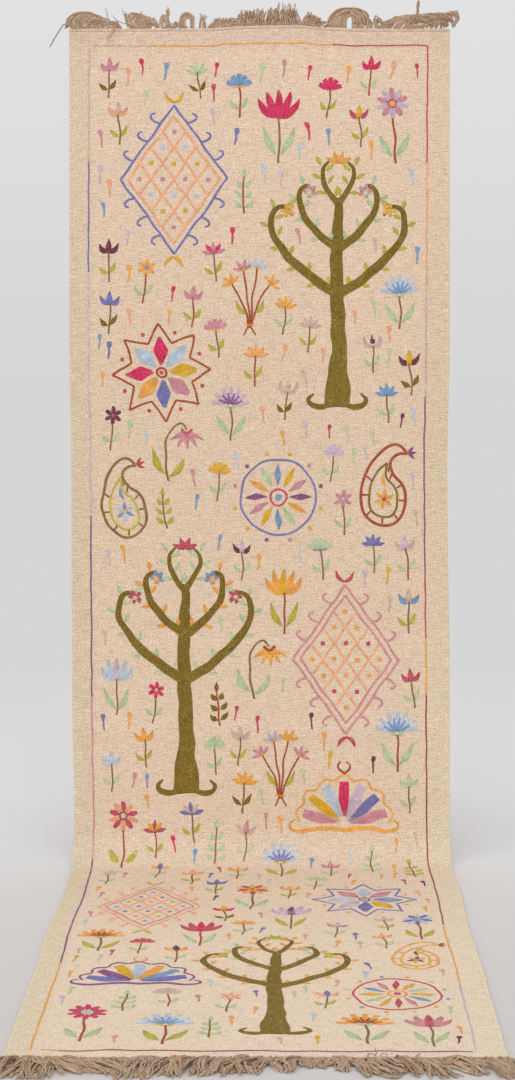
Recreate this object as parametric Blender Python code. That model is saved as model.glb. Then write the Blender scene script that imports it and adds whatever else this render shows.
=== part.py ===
"""Embroidered wool kilim runner, hung by its top edge with its lower end run out over the floor.

Frame: metres, +Z up, +X to the right of someone facing the cloth, -Y towards them. The origin is
the middle of the top edge, where the cloth is held, and the floor is HANG_HEIGHT below it.
A place on the flat cloth is given by across, from the centreline, and along, from the top edge.
"""

import math

import bmesh
import bpy
from mathutils import Vector

# The woven cloth
WIDTH = 0.800
THICKNESS = 0.0030
HANG_HEIGHT = 1.778
FLOOR_REACH = 1.100
BEND_RADIUS = 0.060

# Lengths along the cloth, at the middle of its thickness
FLOOR_LEVEL = THICKNESS / 2 - HANG_HEIGHT
DROP_LENGTH = -FLOOR_LEVEL - BEND_RADIUS
BEND_LENGTH = BEND_RADIUS * math.pi / 2
RUN_LENGTH = FLOOR_REACH - BEND_RADIUS
CLOTH_LENGTH = DROP_LENGTH + BEND_LENGTH + RUN_LENGTH

COLUMNS = 16
DROP_ROWS = 36
BEND_ROWS = 7
RUN_ROWS = 12

# How the two hand-woven selvedges wander
EDGE_COLUMNS = ("along", "left", "right")
EDGE_TABLE = (
    (0.00, -0.4040, 0.4040),
    (0.67, -0.4040, 0.4040),
    (0.94, -0.4000, 0.3990),
    (1.42, -0.3980, 0.4040),
    (1.71, -0.3940, 0.4045),
    (1.95, -0.3935, 0.4050),
    (2.24, -0.4015, 0.3975),
    (2.42, -0.4000, 0.3985),
    (2.56, -0.4035, 0.3955),
    (2.72, -0.4055, 0.3935),
    (2.80, -0.4060, 0.3915),
    (CLOTH_LENGTH, -0.4085, 0.3935),
)

# Soft upright ridges and troughs of the hanging part: where, how wide, how proud, and their span
FOLD_COLUMNS = ("across", "half_width", "proud", "start", "end")
FOLD_TABLE = (
    (-0.300, 0.050, 0.0035, -0.20, 1.05),
    (-0.165, 0.055, -0.0040, 0.05, 1.75),
    (-0.020, 0.045, 0.0030, -0.30, 0.80),
    (0.130, 0.060, -0.0035, 0.30, 1.60),
    (0.285, 0.050, 0.0040, -0.10, 1.30),
)

# Level creases left by folding the cloth for storage: along, half width, proud
CREASE_COLUMNS = ("along", "half_width", "proud")
CREASE_TABLE = (
    (0.700, 0.030, 0.0015),
    (1.285, 0.024, -0.0020),
    (1.498, 0.020, 0.0025),
)
SELVEDGE_CURL = 0.0060
RELIEF_FADE = 0.12

# The heel: the cloth sinks back a little before it turns out over the floor
HEEL_DEPTH = 0.0060
HEEL_ALONG = DROP_LENGTH - 0.030
HEEL_HALF_LENGTH = 0.055

# The top edge is held highest just right of its middle and sags to either side
SAG_COLUMNS = ("across", "height")
SAG_TABLE = (
    (-0.400, -0.0070),
    (-0.110, -0.0060),
    (-0.040, -0.0010),
    (0.000, 0.0000),
    (0.080, 0.0010),
    (0.140, -0.0040),
    (0.200, -0.0065),
    (0.400, -0.0070),
)
SAG_DEPTH = 0.140

# The twined end rows and the warp ends that leave them
STRIP_DEPTH = 0.0060
PART_GAP = 0.0003
FRONT_STRANDS = 124
TOP_STRANDS = 118
ROOT_SHARE = 0.55
TIP_SHARE = 0.55

# Warp ends on the floor, in bunches: where each starts and ends, and where its tips lie
FRONT_SEGMENTS = 3
FRONT_ARCH = 0.0065
FRONT_GATHER = 0.50
FRONT_SPREAD = 0.04
FRONT_POINT = 0.30
FRONT_COLUMNS = ("start", "end", "tip", "reach")
FRONT_TABLE = (
    (-0.400, -0.300, -0.372, 0.074),
    (-0.300, -0.245, -0.282, 0.058),
    (-0.245, -0.165, -0.224, 0.066),
    (-0.165, -0.075, -0.137, 0.060),
    (-0.075, -0.005, -0.048, 0.056),
    (-0.005, 0.050, 0.012, 0.048),
    (0.050, 0.105, 0.067, 0.044),
    (0.105, 0.145, 0.122, 0.036),
    (0.145, 0.180, 0.166, 0.042),
    (0.180, 0.225, 0.208, 0.058),
    (0.225, 0.268, 0.256, 0.053),
    (0.268, 0.312, 0.300, 0.066),
    (0.312, 0.358, 0.348, 0.053),
    (0.358, 0.400, 0.396, 0.068),
)

# Warp ends on the top edge, in bunches: where each starts and ends, the foot that it flops over
# (or None where it stands up) and its height
TOP_SEGMENTS = 4
LAYER_OFFSET = 0.0023
BUNCH_COLUMNS = ("start", "end", "foot", "height")
BUNCH_TABLE = (
    (-0.405, -0.346, -0.346, 0.037),
    (-0.346, -0.288, -0.288, 0.023),
    (-0.288, -0.237, -0.237, 0.036),
    (-0.237, -0.205, -0.205, 0.027),
    (-0.205, -0.177, None, 0.044),
    (-0.177, -0.137, -0.137, 0.034),
    (-0.137, -0.106, None, 0.026),
    (-0.106, -0.074, -0.074, 0.018),
    (-0.074, -0.042, -0.042, 0.022),
    (-0.042, 0.008, None, 0.031),
    (0.008, 0.090, None, 0.042),
    (0.090, 0.128, 0.128, 0.028),
    (0.128, 0.160, 0.128, 0.016),
    (0.160, 0.204, 0.204, 0.043),
    (0.204, 0.246, 0.204, 0.042),
    (0.246, 0.262, None, 0.024),
    (0.262, 0.340, 0.340, 0.029),
    (0.340, 0.405, 0.418, 0.038),
)
FLOP_TURN = math.radians(84)
FLOP_SPREAD = 0.08
FLOP_SHARE = 0.85
STUB_RISE = 0.005
UPRIGHT_GATHER = 0.22

# The long pale selvedge yarn at the left end of the top edge
TAIL_REACH = 0.042
TAIL_DROP = 0.047
TAIL_RISE = 0.008
TAIL_FORWARD = 0.004
TAIL_SEGMENTS = 8

CLOTH_COLOUR = (0.68, 0.53, 0.37, 1.0)
YARN_COLOUR = (0.33, 0.24, 0.18, 1.0)
CLOTH_ROUGHNESS = 0.92


def clear_scene():
    for item in list(bpy.data.objects):
        bpy.data.objects.remove(item)


def wool(name, colour):
    material = bpy.data.materials.new(name)
    material.use_nodes = True
    shader = material.node_tree.nodes["Principled BSDF"]
    shader.inputs["Base Color"].default_value = colour
    shader.inputs["Roughness"].default_value = CLOTH_ROUGHNESS
    shader.inputs["Metallic"].default_value = 0.0
    return material


def new_object(name, mesh_maker, material):
    """Links an object whose mesh is what is left in mesh_maker."""
    bmesh.ops.recalc_face_normals(mesh_maker, faces=mesh_maker.faces)
    mesh = bpy.data.meshes.new(name)
    mesh_maker.to_mesh(mesh)
    mesh_maker.free()
    item = bpy.data.objects.new(name, mesh)
    bpy.context.collection.objects.link(item)
    mesh.materials.append(material)
    return item


def bell(value, middle, half_width):
    """1 at the middle, falling smoothly to nothing about two half widths away."""
    return math.exp(-(((value - middle) / half_width) ** 2))


def ease(value):
    """0 below 0, 1 above 1 and a smooth step between."""
    value = min(1.0, max(0.0, value))
    return value * value * (3 - 2 * value)


def unevenness(number):
    """A repeatable scatter from -1 to 1 for the strand of this number."""
    return math.sin(12.9898 * number + 4.1) * math.cos(78.233 * number)


def read_off(table, place):
    """The other columns of a table whose first column is a place, eased between its rows."""
    for lower, upper in zip(table, table[1:]):
        if place <= upper[0]:
            break
    share = ease((place - lower[0]) / (upper[0] - lower[0]))
    return [low + share * (high - low) for low, high in zip(lower[1:], upper[1:])]


def relief_at(across, along):
    """How far the cloth stands in front of its plane."""
    proud = 0.0
    for centre, half_width, height, start, end in FOLD_TABLE:
        span = ease((along - start) / RELIEF_FADE) * ease((end - along) / RELIEF_FADE)
        proud += height * span * bell(across, centre, half_width)
    for level, half_width, height in CREASE_TABLE:
        proud += height * bell(along, level, half_width)
    proud -= SELVEDGE_CURL * abs(2 * across / WIDTH) ** 6
    proud *= ease(along / RELIEF_FADE) * ease((DROP_LENGTH - along) / RELIEF_FADE)
    sunk = HEEL_DEPTH * bell(along, HEEL_ALONG, HEEL_HALF_LENGTH)
    return proud - sunk * ease((DROP_LENGTH + BEND_LENGTH - along) / BEND_LENGTH)


def profile_at(along):
    """((y, z), angle from hanging to lying) of the cloth's middle this far along it."""
    if along <= DROP_LENGTH:
        return (0.0, -along), 0.0
    if along <= DROP_LENGTH + BEND_LENGTH:
        turn = (along - DROP_LENGTH) / BEND_RADIUS
        forward = BEND_RADIUS * (1 - math.cos(turn))
        down = DROP_LENGTH + BEND_RADIUS * math.sin(turn)
        return (-forward, -down), turn
    return (DROP_LENGTH + BEND_LENGTH - BEND_RADIUS - along, FLOOR_LEVEL), math.pi / 2


def cloth_point(across, along):
    """The middle of the cloth's thickness at a place on the flat cloth."""
    left, right = read_off(EDGE_TABLE, along)
    (y, z), turn = profile_at(along)
    proud = relief_at(across, along)
    z += read_off(SAG_TABLE, across)[0] * math.exp(-along / SAG_DEPTH)
    x = left + (right - left) * (across / WIDTH + 0.5)
    return Vector((x, y - proud * math.cos(turn), z + proud * math.sin(turn)))


def edge_point(across, along):
    """A place on the woven cloth itself, which runs straight from column to column."""
    place = (across / WIDTH + 0.5) * COLUMNS
    column = min(COLUMNS - 1, int(place))
    ends = [cloth_point(WIDTH * (i / COLUMNS - 0.5), along) for i in (column, column + 1)]
    return ends[0].lerp(ends[1], place - column)


def row_places():
    """Places along the cloth of its rows, close together round the bend."""
    drop = [DROP_LENGTH * i / DROP_ROWS for i in range(DROP_ROWS)]
    bend = [DROP_LENGTH + BEND_LENGTH * i / BEND_ROWS for i in range(BEND_ROWS)]
    run_start = DROP_LENGTH + BEND_LENGTH
    run = [run_start + RUN_LENGTH * i / RUN_ROWS for i in range(RUN_ROWS + 1)]
    return drop + bend + run


def make_cloth(material):
    places = row_places()
    weave = bmesh.new()
    bmesh.ops.create_grid(weave, x_segments=COLUMNS, y_segments=len(places) - 1, size=0.5)
    for vert in weave.verts:
        column = round((vert.co.x + 0.5) * COLUMNS)
        row = round((0.5 - vert.co.y) * (len(places) - 1))
        across = WIDTH * (column / COLUMNS - 0.5)
        vert.co = cloth_point(across, places[row])
    cloth = new_object("kilim_body", weave, material)
    thicken = cloth.modifiers.new("thickness", "SOLIDIFY")
    thicken.thickness = THICKNESS
    thicken.offset = 0.0
    thicken.use_even_offset = True
    cloth.data.shade_smooth()
    return cloth


def strand_ring(centre, forward, thickness_way, half_width, half_height):
    """Four corners of a strand's section, square to the way it runs."""
    side = thickness_way.cross(forward).normalized()
    upward = forward.cross(side).normalized()
    corners = ((-1, -1), (1, -1), (1, 1), (-1, 1))
    return [centre + side * (half_width * a) + upward * (half_height * b) for a, b in corners]


def make_fringe(name, count, station, thickness_way, path_of, material):
    """A twined strip of count root cells, each drawn out along its own path.

    station(share) gives the strip's inner and outer middle, path_of(number) the strand's points.
    """
    fringe = bmesh.new()
    shares = [0.0]
    for i in range(count):
        shares += [(i + (1 - ROOT_SHARE) / 2) / count, (i + (1 + ROOT_SHARE) / 2) / count]
    shares.append(1.0)
    half = thickness_way * (THICKNESS / 2)
    rails = []
    for share in shares:
        inner, outer = station(share)
        corners = (inner - half, outer - half, outer + half, inner + half)
        rails.append([fringe.verts.new(corner) for corner in corners])
    roots = []
    for number, (left, right) in enumerate(zip(rails, rails[1:])):
        for i in range(4):
            j = (i + 1) % 4
            face = fringe.faces.new((left[i], left[j], right[j], right[i]))
            if i == 1 and number % 2:
                roots.append((face, (left[1], right[1], right[2], left[2])))
    fringe.faces.new(rails[0][::-1])
    fringe.faces.new(rails[-1])
    for number, (face, corners) in enumerate(roots):
        slots = [list(face.verts).index(corner) for corner in corners]
        draw_out(fringe, face, slots, thickness_way, path_of(number))
    return new_object(name, fringe, material)


def draw_out(fringe, face, slots, thickness_way, points):
    """Draws a root face out along points, thinning towards the tip."""
    previous = face.calc_center_median()
    half_width = (face.verts[slots[0]].co - face.verts[slots[1]].co).length / 2
    for number, point in enumerate(points):
        face = bmesh.ops.extrude_discrete_faces(fringe, faces=[face])["faces"][0]
        following = points[min(number + 1, len(points) - 1)]
        share = 1 - (1 - TIP_SHARE) * (number + 1) / len(points)
        forward = following - previous
        ring = strand_ring(point, forward, thickness_way, half_width * share, THICKNESS / 2 * share)
        for slot, place in zip(slots, ring):
            face.verts[slot].co = place
        previous = point


def front_station(share):
    inner = edge_point(WIDTH * (share - 0.5), CLOTH_LENGTH) + Vector((0, -PART_GAP, 0))
    return inner, inner + Vector((0, -STRIP_DEPTH, 0))


def front_path(number):
    """A warp end on the floor: every other one lies flat, and the rest arch between root and tip."""
    root = front_station((number + 0.5) / FRONT_STRANDS)[1]
    for start, end, tip, reach in FRONT_TABLE:
        if root.x < end:
            break
    gathered = tip + (root.x - (start + end) / 2) * FRONT_GATHER
    outward = 2 * (root.x - start) / (end - start) - 1
    length = reach * (1 - FRONT_POINT * outward ** 2 + FRONT_SPREAD * unevenness(number))
    arch = FRONT_ARCH * (number % 2)
    points = []
    for i in range(1, FRONT_SEGMENTS + 1):
        share = i / FRONT_SEGMENTS
        x = root.x + (gathered - root.x) * ease(length * share / reach)
        lowest = -HANG_HEIGHT + THICKNESS / 2 * (1 - (1 - TIP_SHARE) * share)
        rise = arch * math.sin(math.pi * min(1.0, share * 1.05))
        points.append(Vector((x, root.y - length * share, lowest + max(0.0, rise))))
    return points


def top_station(share):
    inner = edge_point(WIDTH * (share - 0.5), 0.0) + Vector((0, 0, PART_GAP))
    return inner, inner + Vector((0, 0, STRIP_DEPTH))


def top_path(number):
    """A warp end on the top edge: upright, or one of the nested arcs over its bunch's foot.

    Neighbours lie in two layers, one behind the other.
    """
    share = (number + 0.5) / TOP_STRANDS
    if number == 0:
        return tail_path(share)
    root = top_station(share)[1]
    for start, end, foot, height in BUNCH_TABLE:
        if root.x < end:
            break
    layer = LAYER_OFFSET * (1 if number % 2 else -1)
    points = []
    if foot is None:
        height *= 1 + 0.16 * unevenness(number)
        inward = ((start + end) / 2 - root.x) * UPRIGHT_GATHER
        for i in range(1, TOP_SEGMENTS + 1):
            part = i / TOP_SEGMENTS
            points.append(root + Vector((inward * part, layer * min(1.0, 2 * part), height * part)))
        return points
    way = 1 if foot > root.x else -1
    reach = abs(foot - root.x)
    rise = STUB_RISE + (height - STUB_RISE) * reach / abs(foot - (start if way > 0 else end))
    turn = FLOP_TURN * (1 + FLOP_SPREAD * unevenness(number))
    for i in range(1, TOP_SEGMENTS + 1):
        part = i / TOP_SEGMENTS
        sideways = way * reach * FLOP_SHARE * (1 - math.cos(turn * part))
        points.append(root + Vector((sideways, layer * min(1.0, 2 * part), rise * math.sin(turn * part))))
    return points


def tail_path(share):
    """The long selvedge yarn: over the corner, then slanting down outside the edge."""
    root = top_station(share)[1]
    points = []
    for i in range(1, TAIL_SEGMENTS + 1):
        part = i / TAIL_SEGMENTS
        rise = TAIL_RISE * math.sin(math.pi * min(1.0, 2 * part)) - TAIL_DROP * ease(part) * part
        points.append(root + Vector((-TAIL_REACH * part, -TAIL_FORWARD * part, rise)))
    return points


def main():
    clear_scene()
    cloth_wool = wool("undyed_wool", CLOTH_COLOUR)
    yarn_wool = wool("brown_warp_yarn", YARN_COLOUR)
    make_cloth(cloth_wool)
    upward = Vector((0, 0, 1))
    backward = Vector((0, 1, 0))
    make_fringe("fringe_front", FRONT_STRANDS, front_station, upward, front_path, yarn_wool)
    make_fringe("fringe_top", TOP_STRANDS, top_station, backward, top_path, yarn_wool)


main()
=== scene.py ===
"""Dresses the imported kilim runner: woven ground, stitched wool embroidery and plied fringes."""

import math
import random

import bpy
import numpy as np
from bpy.props import FloatProperty, FloatVectorProperty, PointerProperty
from mathutils import Matrix


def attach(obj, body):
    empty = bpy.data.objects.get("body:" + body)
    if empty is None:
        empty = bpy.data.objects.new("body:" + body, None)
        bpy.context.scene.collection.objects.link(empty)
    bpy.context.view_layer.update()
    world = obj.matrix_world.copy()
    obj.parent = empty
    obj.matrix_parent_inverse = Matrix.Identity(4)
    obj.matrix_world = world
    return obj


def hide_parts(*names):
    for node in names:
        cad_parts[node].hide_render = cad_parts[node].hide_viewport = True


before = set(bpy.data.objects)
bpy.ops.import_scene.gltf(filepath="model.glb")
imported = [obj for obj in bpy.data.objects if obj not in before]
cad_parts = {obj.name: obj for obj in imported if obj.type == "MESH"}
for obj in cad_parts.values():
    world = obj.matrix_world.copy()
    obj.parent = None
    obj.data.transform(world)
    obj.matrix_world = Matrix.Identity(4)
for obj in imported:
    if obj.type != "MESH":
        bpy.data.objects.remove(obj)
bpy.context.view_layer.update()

bl_info = {
    "name": "Embroidered Kilim Runner",
    "version": (1, 0, 0),
    "blender": (4, 5, 0),
    "location": "3D View > Sidebar > Kilim",
    "description": "Weaves, embroiders and fringes a wool runner that hangs and runs out over the floor",
    "category": "Add Mesh",
}

# ---------------------------------------------------------------- sizes and colours


def linear(red, green, blue):
    """Scene-linear colour of a dyer's 0 to 255 shade."""
    shares = (red / 255, green / 255, blue / 255)
    return tuple(c / 12.92 if c <= 0.04045 else ((c + 0.055) / 1.055) ** 2.4 for c in shares)


def length(name, description, default):
    return FloatProperty(name=name, description=description, default=default, min=0.0, unit="LENGTH")


def shade(name, description, *rgb):
    return FloatVectorProperty(
        name=name, description=description, default=linear(*rgb), size=3, min=0.0, max=1.0, subtype="COLOR"
    )


class KILIM_PG_sizes(bpy.types.PropertyGroup):
    """Sizes of the weave, the stitches and the yarns."""

    width: length("Width", "Cloth from selvedge to selvedge", 0.800)
    thickness: length("Thickness", "Thickness of the woven ground", 0.0030)
    hang_height: length("Hanging height", "Top edge above the floor", 1.778)
    floor_reach: length("Floor reach", "How far the cloth runs out in front of its hanging part", 1.100)
    bend_radius: length("Bend radius", "Radius in which the cloth turns at the floor", 0.060)
    grid: length("Grid", "Spacing of the ground's mesh", 0.0125)
    selvedge: length("Selvedge", "Width of the bound cord along each side", 0.0070)
    stitch: length("Stitch", "Length of one chain stitch", 0.0066)
    row: length("Row", "Width of one row of chain stitch", 0.0042)
    stitch_height: length("Stitch height", "How proud the wool stands on the cloth", 0.0013)
    back_height: length("Back height", "How proud the stitches stand on the reverse", 0.0009)
    yarn: length("Fringe yarn", "Diameter of one warp end", 0.0030)


class KILIM_PG_wools(bpy.types.PropertyGroup):
    """Shades of the wools."""

    ground: shade("Ground", "Undyed wool of the field", 238, 209, 186)
    margin: shade("Margin", "Undyed wool outside the border line", 230, 207, 179)
    warp: shade("Warp ends", "Brown yarn of the fringes", 250, 219, 187)
    # The dark hairs' own colour, also used for painted shade on low and hidden fringe yarns and in the
    # grooves between the plies
    warp_dark: shade("Warp shadow", "Darker hairs in the fringes", 212, 162, 126)
    olive: shade("Olive", "Thick stems", 127, 104, 30)
    moss: shade("Moss", "Lime leaves", 189, 180, 72)
    mint: shade("Mint", "Pale leaves", 188, 205, 163)
    stem: shade("Stem", "Thin stems", 138, 104, 62)
    rust: shade("Rust", "Reddish stems and hatching", 164, 72, 44)
    magenta: shade("Magenta", "Tulips", 216, 46, 100)
    rose: shade("Rose", "Carnations and border", 196, 78, 104)
    pink: shade("Dusty pink", "Rosettes", 208, 142, 154)
    peach: shade("Peach", "Trellis lines", 240, 168, 128)
    orange: shade("Orange", "Flowers and border", 238, 168, 82)
    ochre: shade("Ochre", "Flower hearts", 224, 174, 48)
    faint: shade("Faint mauve", "Faded stretches of the border", 208, 180, 166)
    lilac: shade("Lilac", "Pale flowers and border", 206, 184, 204)
    violet: shade("Violet", "Border and outlines", 140, 84, 138)
    plum: shade("Plum", "Dark flowers", 110, 54, 78)
    blue: shade("Periwinkle", "Outlines", 120, 117, 178)
    sky: shade("Sky", "Blue flowers", 124, 155, 196)
    pale: shade("Pale blue", "Blue-grey flowers", 190, 204, 222)


def sizes():
    return bpy.context.scene.kilim_sizes


def wool(name):
    return tuple(getattr(bpy.context.scene.kilim_wools, name))


# ---------------------------------------------------------------- the form in which the cloth hangs

# The two hand-woven selvedges: along, left, right
EDGE_TABLE = (
    (0.00, -0.4040, 0.4040),
    (0.67, -0.4040, 0.4040),
    (0.94, -0.4000, 0.3990),
    (1.42, -0.3980, 0.4040),
    (1.71, -0.3940, 0.4045),
    (1.95, -0.3935, 0.4050),
    (2.24, -0.4015, 0.3975),
    (2.42, -0.4000, 0.3985),
    (2.56, -0.4035, 0.3955),
    (2.72, -0.4055, 0.3935),
    (2.80, -0.4060, 0.3915),
    (2.8507, -0.4085, 0.3935),
)
# Soft upright ridges and troughs: across, half width, proud, start, end
FOLD_TABLE = (
    (-0.300, 0.050, 0.0035, -0.20, 1.05),
    (-0.165, 0.055, -0.0040, 0.05, 1.75),
    (-0.020, 0.045, 0.0030, -0.30, 0.80),
    (0.130, 0.060, -0.0035, 0.30, 1.60),
    (0.285, 0.050, 0.0040, -0.10, 1.30),
)
# Level storage creases: along, half width, proud
CREASE_TABLE = (
    (0.700, 0.030, 0.0015),
    (1.285, 0.024, -0.0020),
    (1.498, 0.020, 0.0025),
)
# Height of the top edge: across, height
SAG_TABLE = (
    (-0.400, -0.0070),
    (-0.110, -0.0060),
    (-0.040, -0.0010),
    (0.000, 0.0000),
    (0.080, 0.0010),
    (0.140, -0.0040),
    (0.200, -0.0065),
    (0.400, -0.0070),
)
# How far down the sag of the top edge, and the folds at either end of the drop, fade out
SAG_DEPTH = 0.14
RELIEF_FADE = 0.12
SELVEDGE_CURL = 0.0060
# The heel: the cloth sinks back a little just above the floor, before it turns out over it
HEEL_DEPTH = 0.0060
HEEL_RISE = 0.030
HEEL_HALF_LENGTH = 0.055
# Waves: strength, radians per metre across, radians per metre along, phase
COCKLE_HEIGHT = 0.00045
COCKLE_FADE = 0.09
COCKLE_WAVES = (
    (0.5, 31, -23, 1.3 + math.pi / 2),
    (-0.5, 31, 23, 1.3 + math.pi / 2),
    (1.0, 57, -17, 0.0),
    (0.6, 9, 88, 0.0),
    (0.5, 71, 40, 0.0),
)
ASIDE_WAVES = ((1.0, 0, 83, 2.0), (0.7, 61, -118, 0.0))
ALONG_WAVES = ((1.0, 79, 0, 1.0), (0.7, 105, 67, 0.0))


def ease(value):
    value = np.clip(value, 0.0, 1.0)
    return value * value * (3 - 2 * value)


def swell(value, middle, half_width):
    return np.exp(-(((value - middle) / half_width) ** 2))


def ripples(waves, x, y):
    return sum(strength * np.sin(a * x + b * y + phase) for strength, a, b, phase in waves)


def read_off(table, place, column):
    """A column of a table whose first column is a place, eased between its rows."""
    rows = np.array(table)
    upper = np.clip(np.searchsorted(rows[:, 0], place), 1, len(rows) - 1)
    share = ease((place - rows[upper - 1, 0]) / (rows[upper, 0] - rows[upper - 1, 0]))
    return rows[upper - 1, column] * (1 - share) + rows[upper, column] * share


def lengths():
    """Lengths of the hanging part, the bend and the whole cloth, at the middle of its thickness."""
    s = sizes()
    drop = s.hang_height - s.thickness / 2 - s.bend_radius
    bend = s.bend_radius * math.pi / 2
    return drop, bend, drop + bend + s.floor_reach - s.bend_radius


def relief(across, along):
    """How far the cloth stands in front of its plane."""
    drop, bend, _ = lengths()
    proud = np.zeros_like(across)
    for centre, half_width, height, start, end in FOLD_TABLE:
        span = ease((along - start) / RELIEF_FADE) * ease((end - along) / RELIEF_FADE)
        proud += height * span * swell(across, centre, half_width)
    for level, half_width, height in CREASE_TABLE:
        proud += height * swell(along, level, half_width)
    proud -= SELVEDGE_CURL * np.abs(2 * across / sizes().width) ** 6
    proud *= ease(along / RELIEF_FADE) * ease((drop - along) / RELIEF_FADE)
    sunk = HEEL_DEPTH * swell(along, drop - HEEL_RISE, HEEL_HALF_LENGTH)
    proud -= sunk * ease((drop + bend - along) / bend)
    # Where the cloth lies it is lifted by as much as the cockles could dip
    lift = sum(abs(strength) for strength, *_ in COCKLE_WAVES) * ease((along - drop) / COCKLE_FADE)
    return proud + COCKLE_HEIGHT * (ripples(COCKLE_WAVES, across, along) + lift)


def middle(across, along):
    """The middle of the cloth's thickness at places on the flat cloth."""
    s = sizes()
    drop, bend, _ = lengths()
    turn = np.clip((along - drop) / s.bend_radius, 0, math.pi / 2)
    y = -s.bend_radius * (1 - np.cos(turn)) - np.maximum(0, along - drop - bend)
    z = -np.minimum(along, drop) - s.bend_radius * np.sin(turn)
    z = z + read_off(SAG_TABLE, across, 1) * np.exp(-np.maximum(along, 0) / SAG_DEPTH)
    left, right = read_off(EDGE_TABLE, along, 1), read_off(EDGE_TABLE, along, 2)
    proud = relief(across, along)
    x = left + (right - left) * (across / s.width + 0.5)
    return np.stack((x, y - proud * np.cos(turn), z + proud * np.sin(turn)), axis=-1)


def laid(flat):
    """Flat places (across, -along, height above the mid-thickness) laid on the hanging cloth."""
    across, along, height = flat[:, 0], -flat[:, 1], flat[:, 2]
    step = 0.002
    down = middle(across, along + step) - middle(across, along - step)
    over = middle(across + step, along) - middle(across - step, along)
    out = np.cross(down, over)
    out /= np.linalg.norm(out, axis=1)[:, None]
    return middle(across, along) + out * height[:, None]


def gathered(items, name, size=1, kind=int):
    """One value, or a row of values, from each of a mesh's items."""
    values = np.empty(len(items) * size, kind)
    items.foreach_get(name, values)
    return values


def corners_of(mesh):
    return gathered(mesh.vertices, "co", 3, np.float32).reshape(-1, 3).astype(float)


def drape(piece, wander=0.0):
    """Lays a flat piece's mesh on the hanging cloth, its lines wandering as a hand draws them."""
    flat = corners_of(piece.data)
    x, y = flat[:, 0].copy(), flat[:, 1].copy()
    flat[:, 0] += wander * ripples(ASIDE_WAVES, x, y)
    flat[:, 1] += wander * ripples(ALONG_WAVES, x, y)
    laid_out = laid(flat)
    laid_out[:, 2] = np.maximum(laid_out[:, 2], -sizes().hang_height)
    piece.data.vertices.foreach_set("co", laid_out.ravel())
    piece.data.update()


# ---------------------------------------------------------------- modelling helpers


def let_go():
    bpy.ops.object.select_all(action="DESELECT")


def hold(*things):
    """Selects only these objects, the first one active."""
    let_go()
    for thing in things:
        thing.select_set(True)
    bpy.context.view_layer.objects.active = things[0]


def new_object(name, mesh):
    made = bpy.data.objects.new(name, mesh)
    bpy.context.collection.objects.link(made)
    return made


def join(things, name):
    hold(*things)
    if len(things) > 1:
        bpy.ops.object.join()
    joined = bpy.context.view_layer.objects.active
    joined.name = joined.data.name = name
    return joined


def edit(thing, *actions):
    """Runs edit-mode actions on all of a mesh."""
    hold(thing)
    bpy.ops.object.mode_set(mode="EDIT")
    bpy.ops.mesh.select_all(action="SELECT")
    for action in actions:
        action()
    bpy.ops.object.mode_set(mode="OBJECT")


def face_out():
    bpy.ops.mesh.normals_make_consistent(inside=False)


def cut_at(thing, x):
    """Cuts all of a mesh where a plane across X meets it."""
    edit(thing, lambda: bpy.ops.mesh.bisect(plane_co=(x, 0, 0), plane_no=(1, 0, 0)))


def apply_modifier(thing, kind, **settings):
    hold(thing)
    modifier = thing.modifiers.new(kind.lower(), kind)
    for name, value in settings.items():
        setattr(modifier, name, value)
    bpy.ops.object.modifier_apply(modifier=modifier.name)


def finish(piece, material):
    piece.data.materials.clear()
    piece.data.materials.append(material)
    piece.data.polygons.foreach_set("use_smooth", [True] * len(piece.data.polygons))
    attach(piece, "root")


# ---------------------------------------------------------------- finishes


MADE = {}


def once(maker):
    """What a maker of node groups or materials makes, made once and then used again."""
    if maker not in MADE:
        MADE[maker] = maker()
    return MADE[maker]


def new_group(name, inputs, outputs):
    """A node group with these (name, socket type, default) inputs and (name, socket type) outputs."""
    tree = bpy.data.node_groups.new(name, "ShaderNodeTree")
    for label, kind, default in inputs:
        socket = tree.interface.new_socket(label, in_out="INPUT", socket_type="NodeSocket" + kind)
        if default is not None:
            socket.default_value = default
    for label, kind in outputs:
        tree.interface.new_socket(label, in_out="OUTPUT", socket_type="NodeSocket" + kind)
    return tree, tree.nodes.new("NodeGroupInput").outputs, tree.nodes.new("NodeGroupOutput").inputs


def feed(tree, socket, value):
    if isinstance(value, bpy.types.NodeSocket):
        tree.links.new(value, socket)
    elif value is not None:
        socket.default_value = value


def node(tree, kind, inputs=(), **settings):
    """Adds a node, feeding its input sockets from (socket, value or link) pairs."""
    made = tree.nodes.new("ShaderNode" + kind)
    for name, value in settings.items():
        setattr(made, name, value)
    for label, value in dict(inputs).items():
        feed(tree, made.inputs[label], value)
    return made


def calc(tree, operation, *values):
    made = tree.nodes.new("ShaderNodeMath")
    made.operation = operation
    for socket, value in zip(made.inputs, values):
        feed(tree, socket, value)
    return made.outputs[0]


def mix(tree, share, first, second, blend="MIX"):
    made = node(tree, "Mix", data_type="RGBA", blend_type=blend)
    feed(tree, made.inputs["Factor"], share)
    for label, value in (("A", first), ("B", second)):
        sockets = [s for s in made.inputs if s.name == label and s.type == "RGBA"]
        feed(tree, sockets[0], (*value, 1.0) if isinstance(value, tuple) and len(value) == 3 else value)
    return [s for s in made.outputs if s.type == "RGBA"][0]


def noise(tree, vector, scale, detail, roughness=0.55):
    pairs = {"Vector": vector, "Scale": scale, "Detail": detail, "Roughness": roughness}
    return node(tree, "TexNoise", pairs).outputs["Fac"]


def fibres(tree, flat, across, along, detail=2.0, roughness=0.6):
    """Noise drawn out to about this many hairs to the metre across and along the flat cloth."""
    drawn = node(tree, "Mapping", {"Vector": flat, "Scale": (across, along, 1)}).outputs["Vector"]
    return noise(tree, drawn, 1.0, detail, roughness)


def spread(tree, value, low, high, to_low, to_high):
    pairs = {"Value": value, 1: low, 2: high, 3: to_low, 4: to_high}
    return node(tree, "MapRange", pairs, clamp=True).outputs["Result"]


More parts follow.
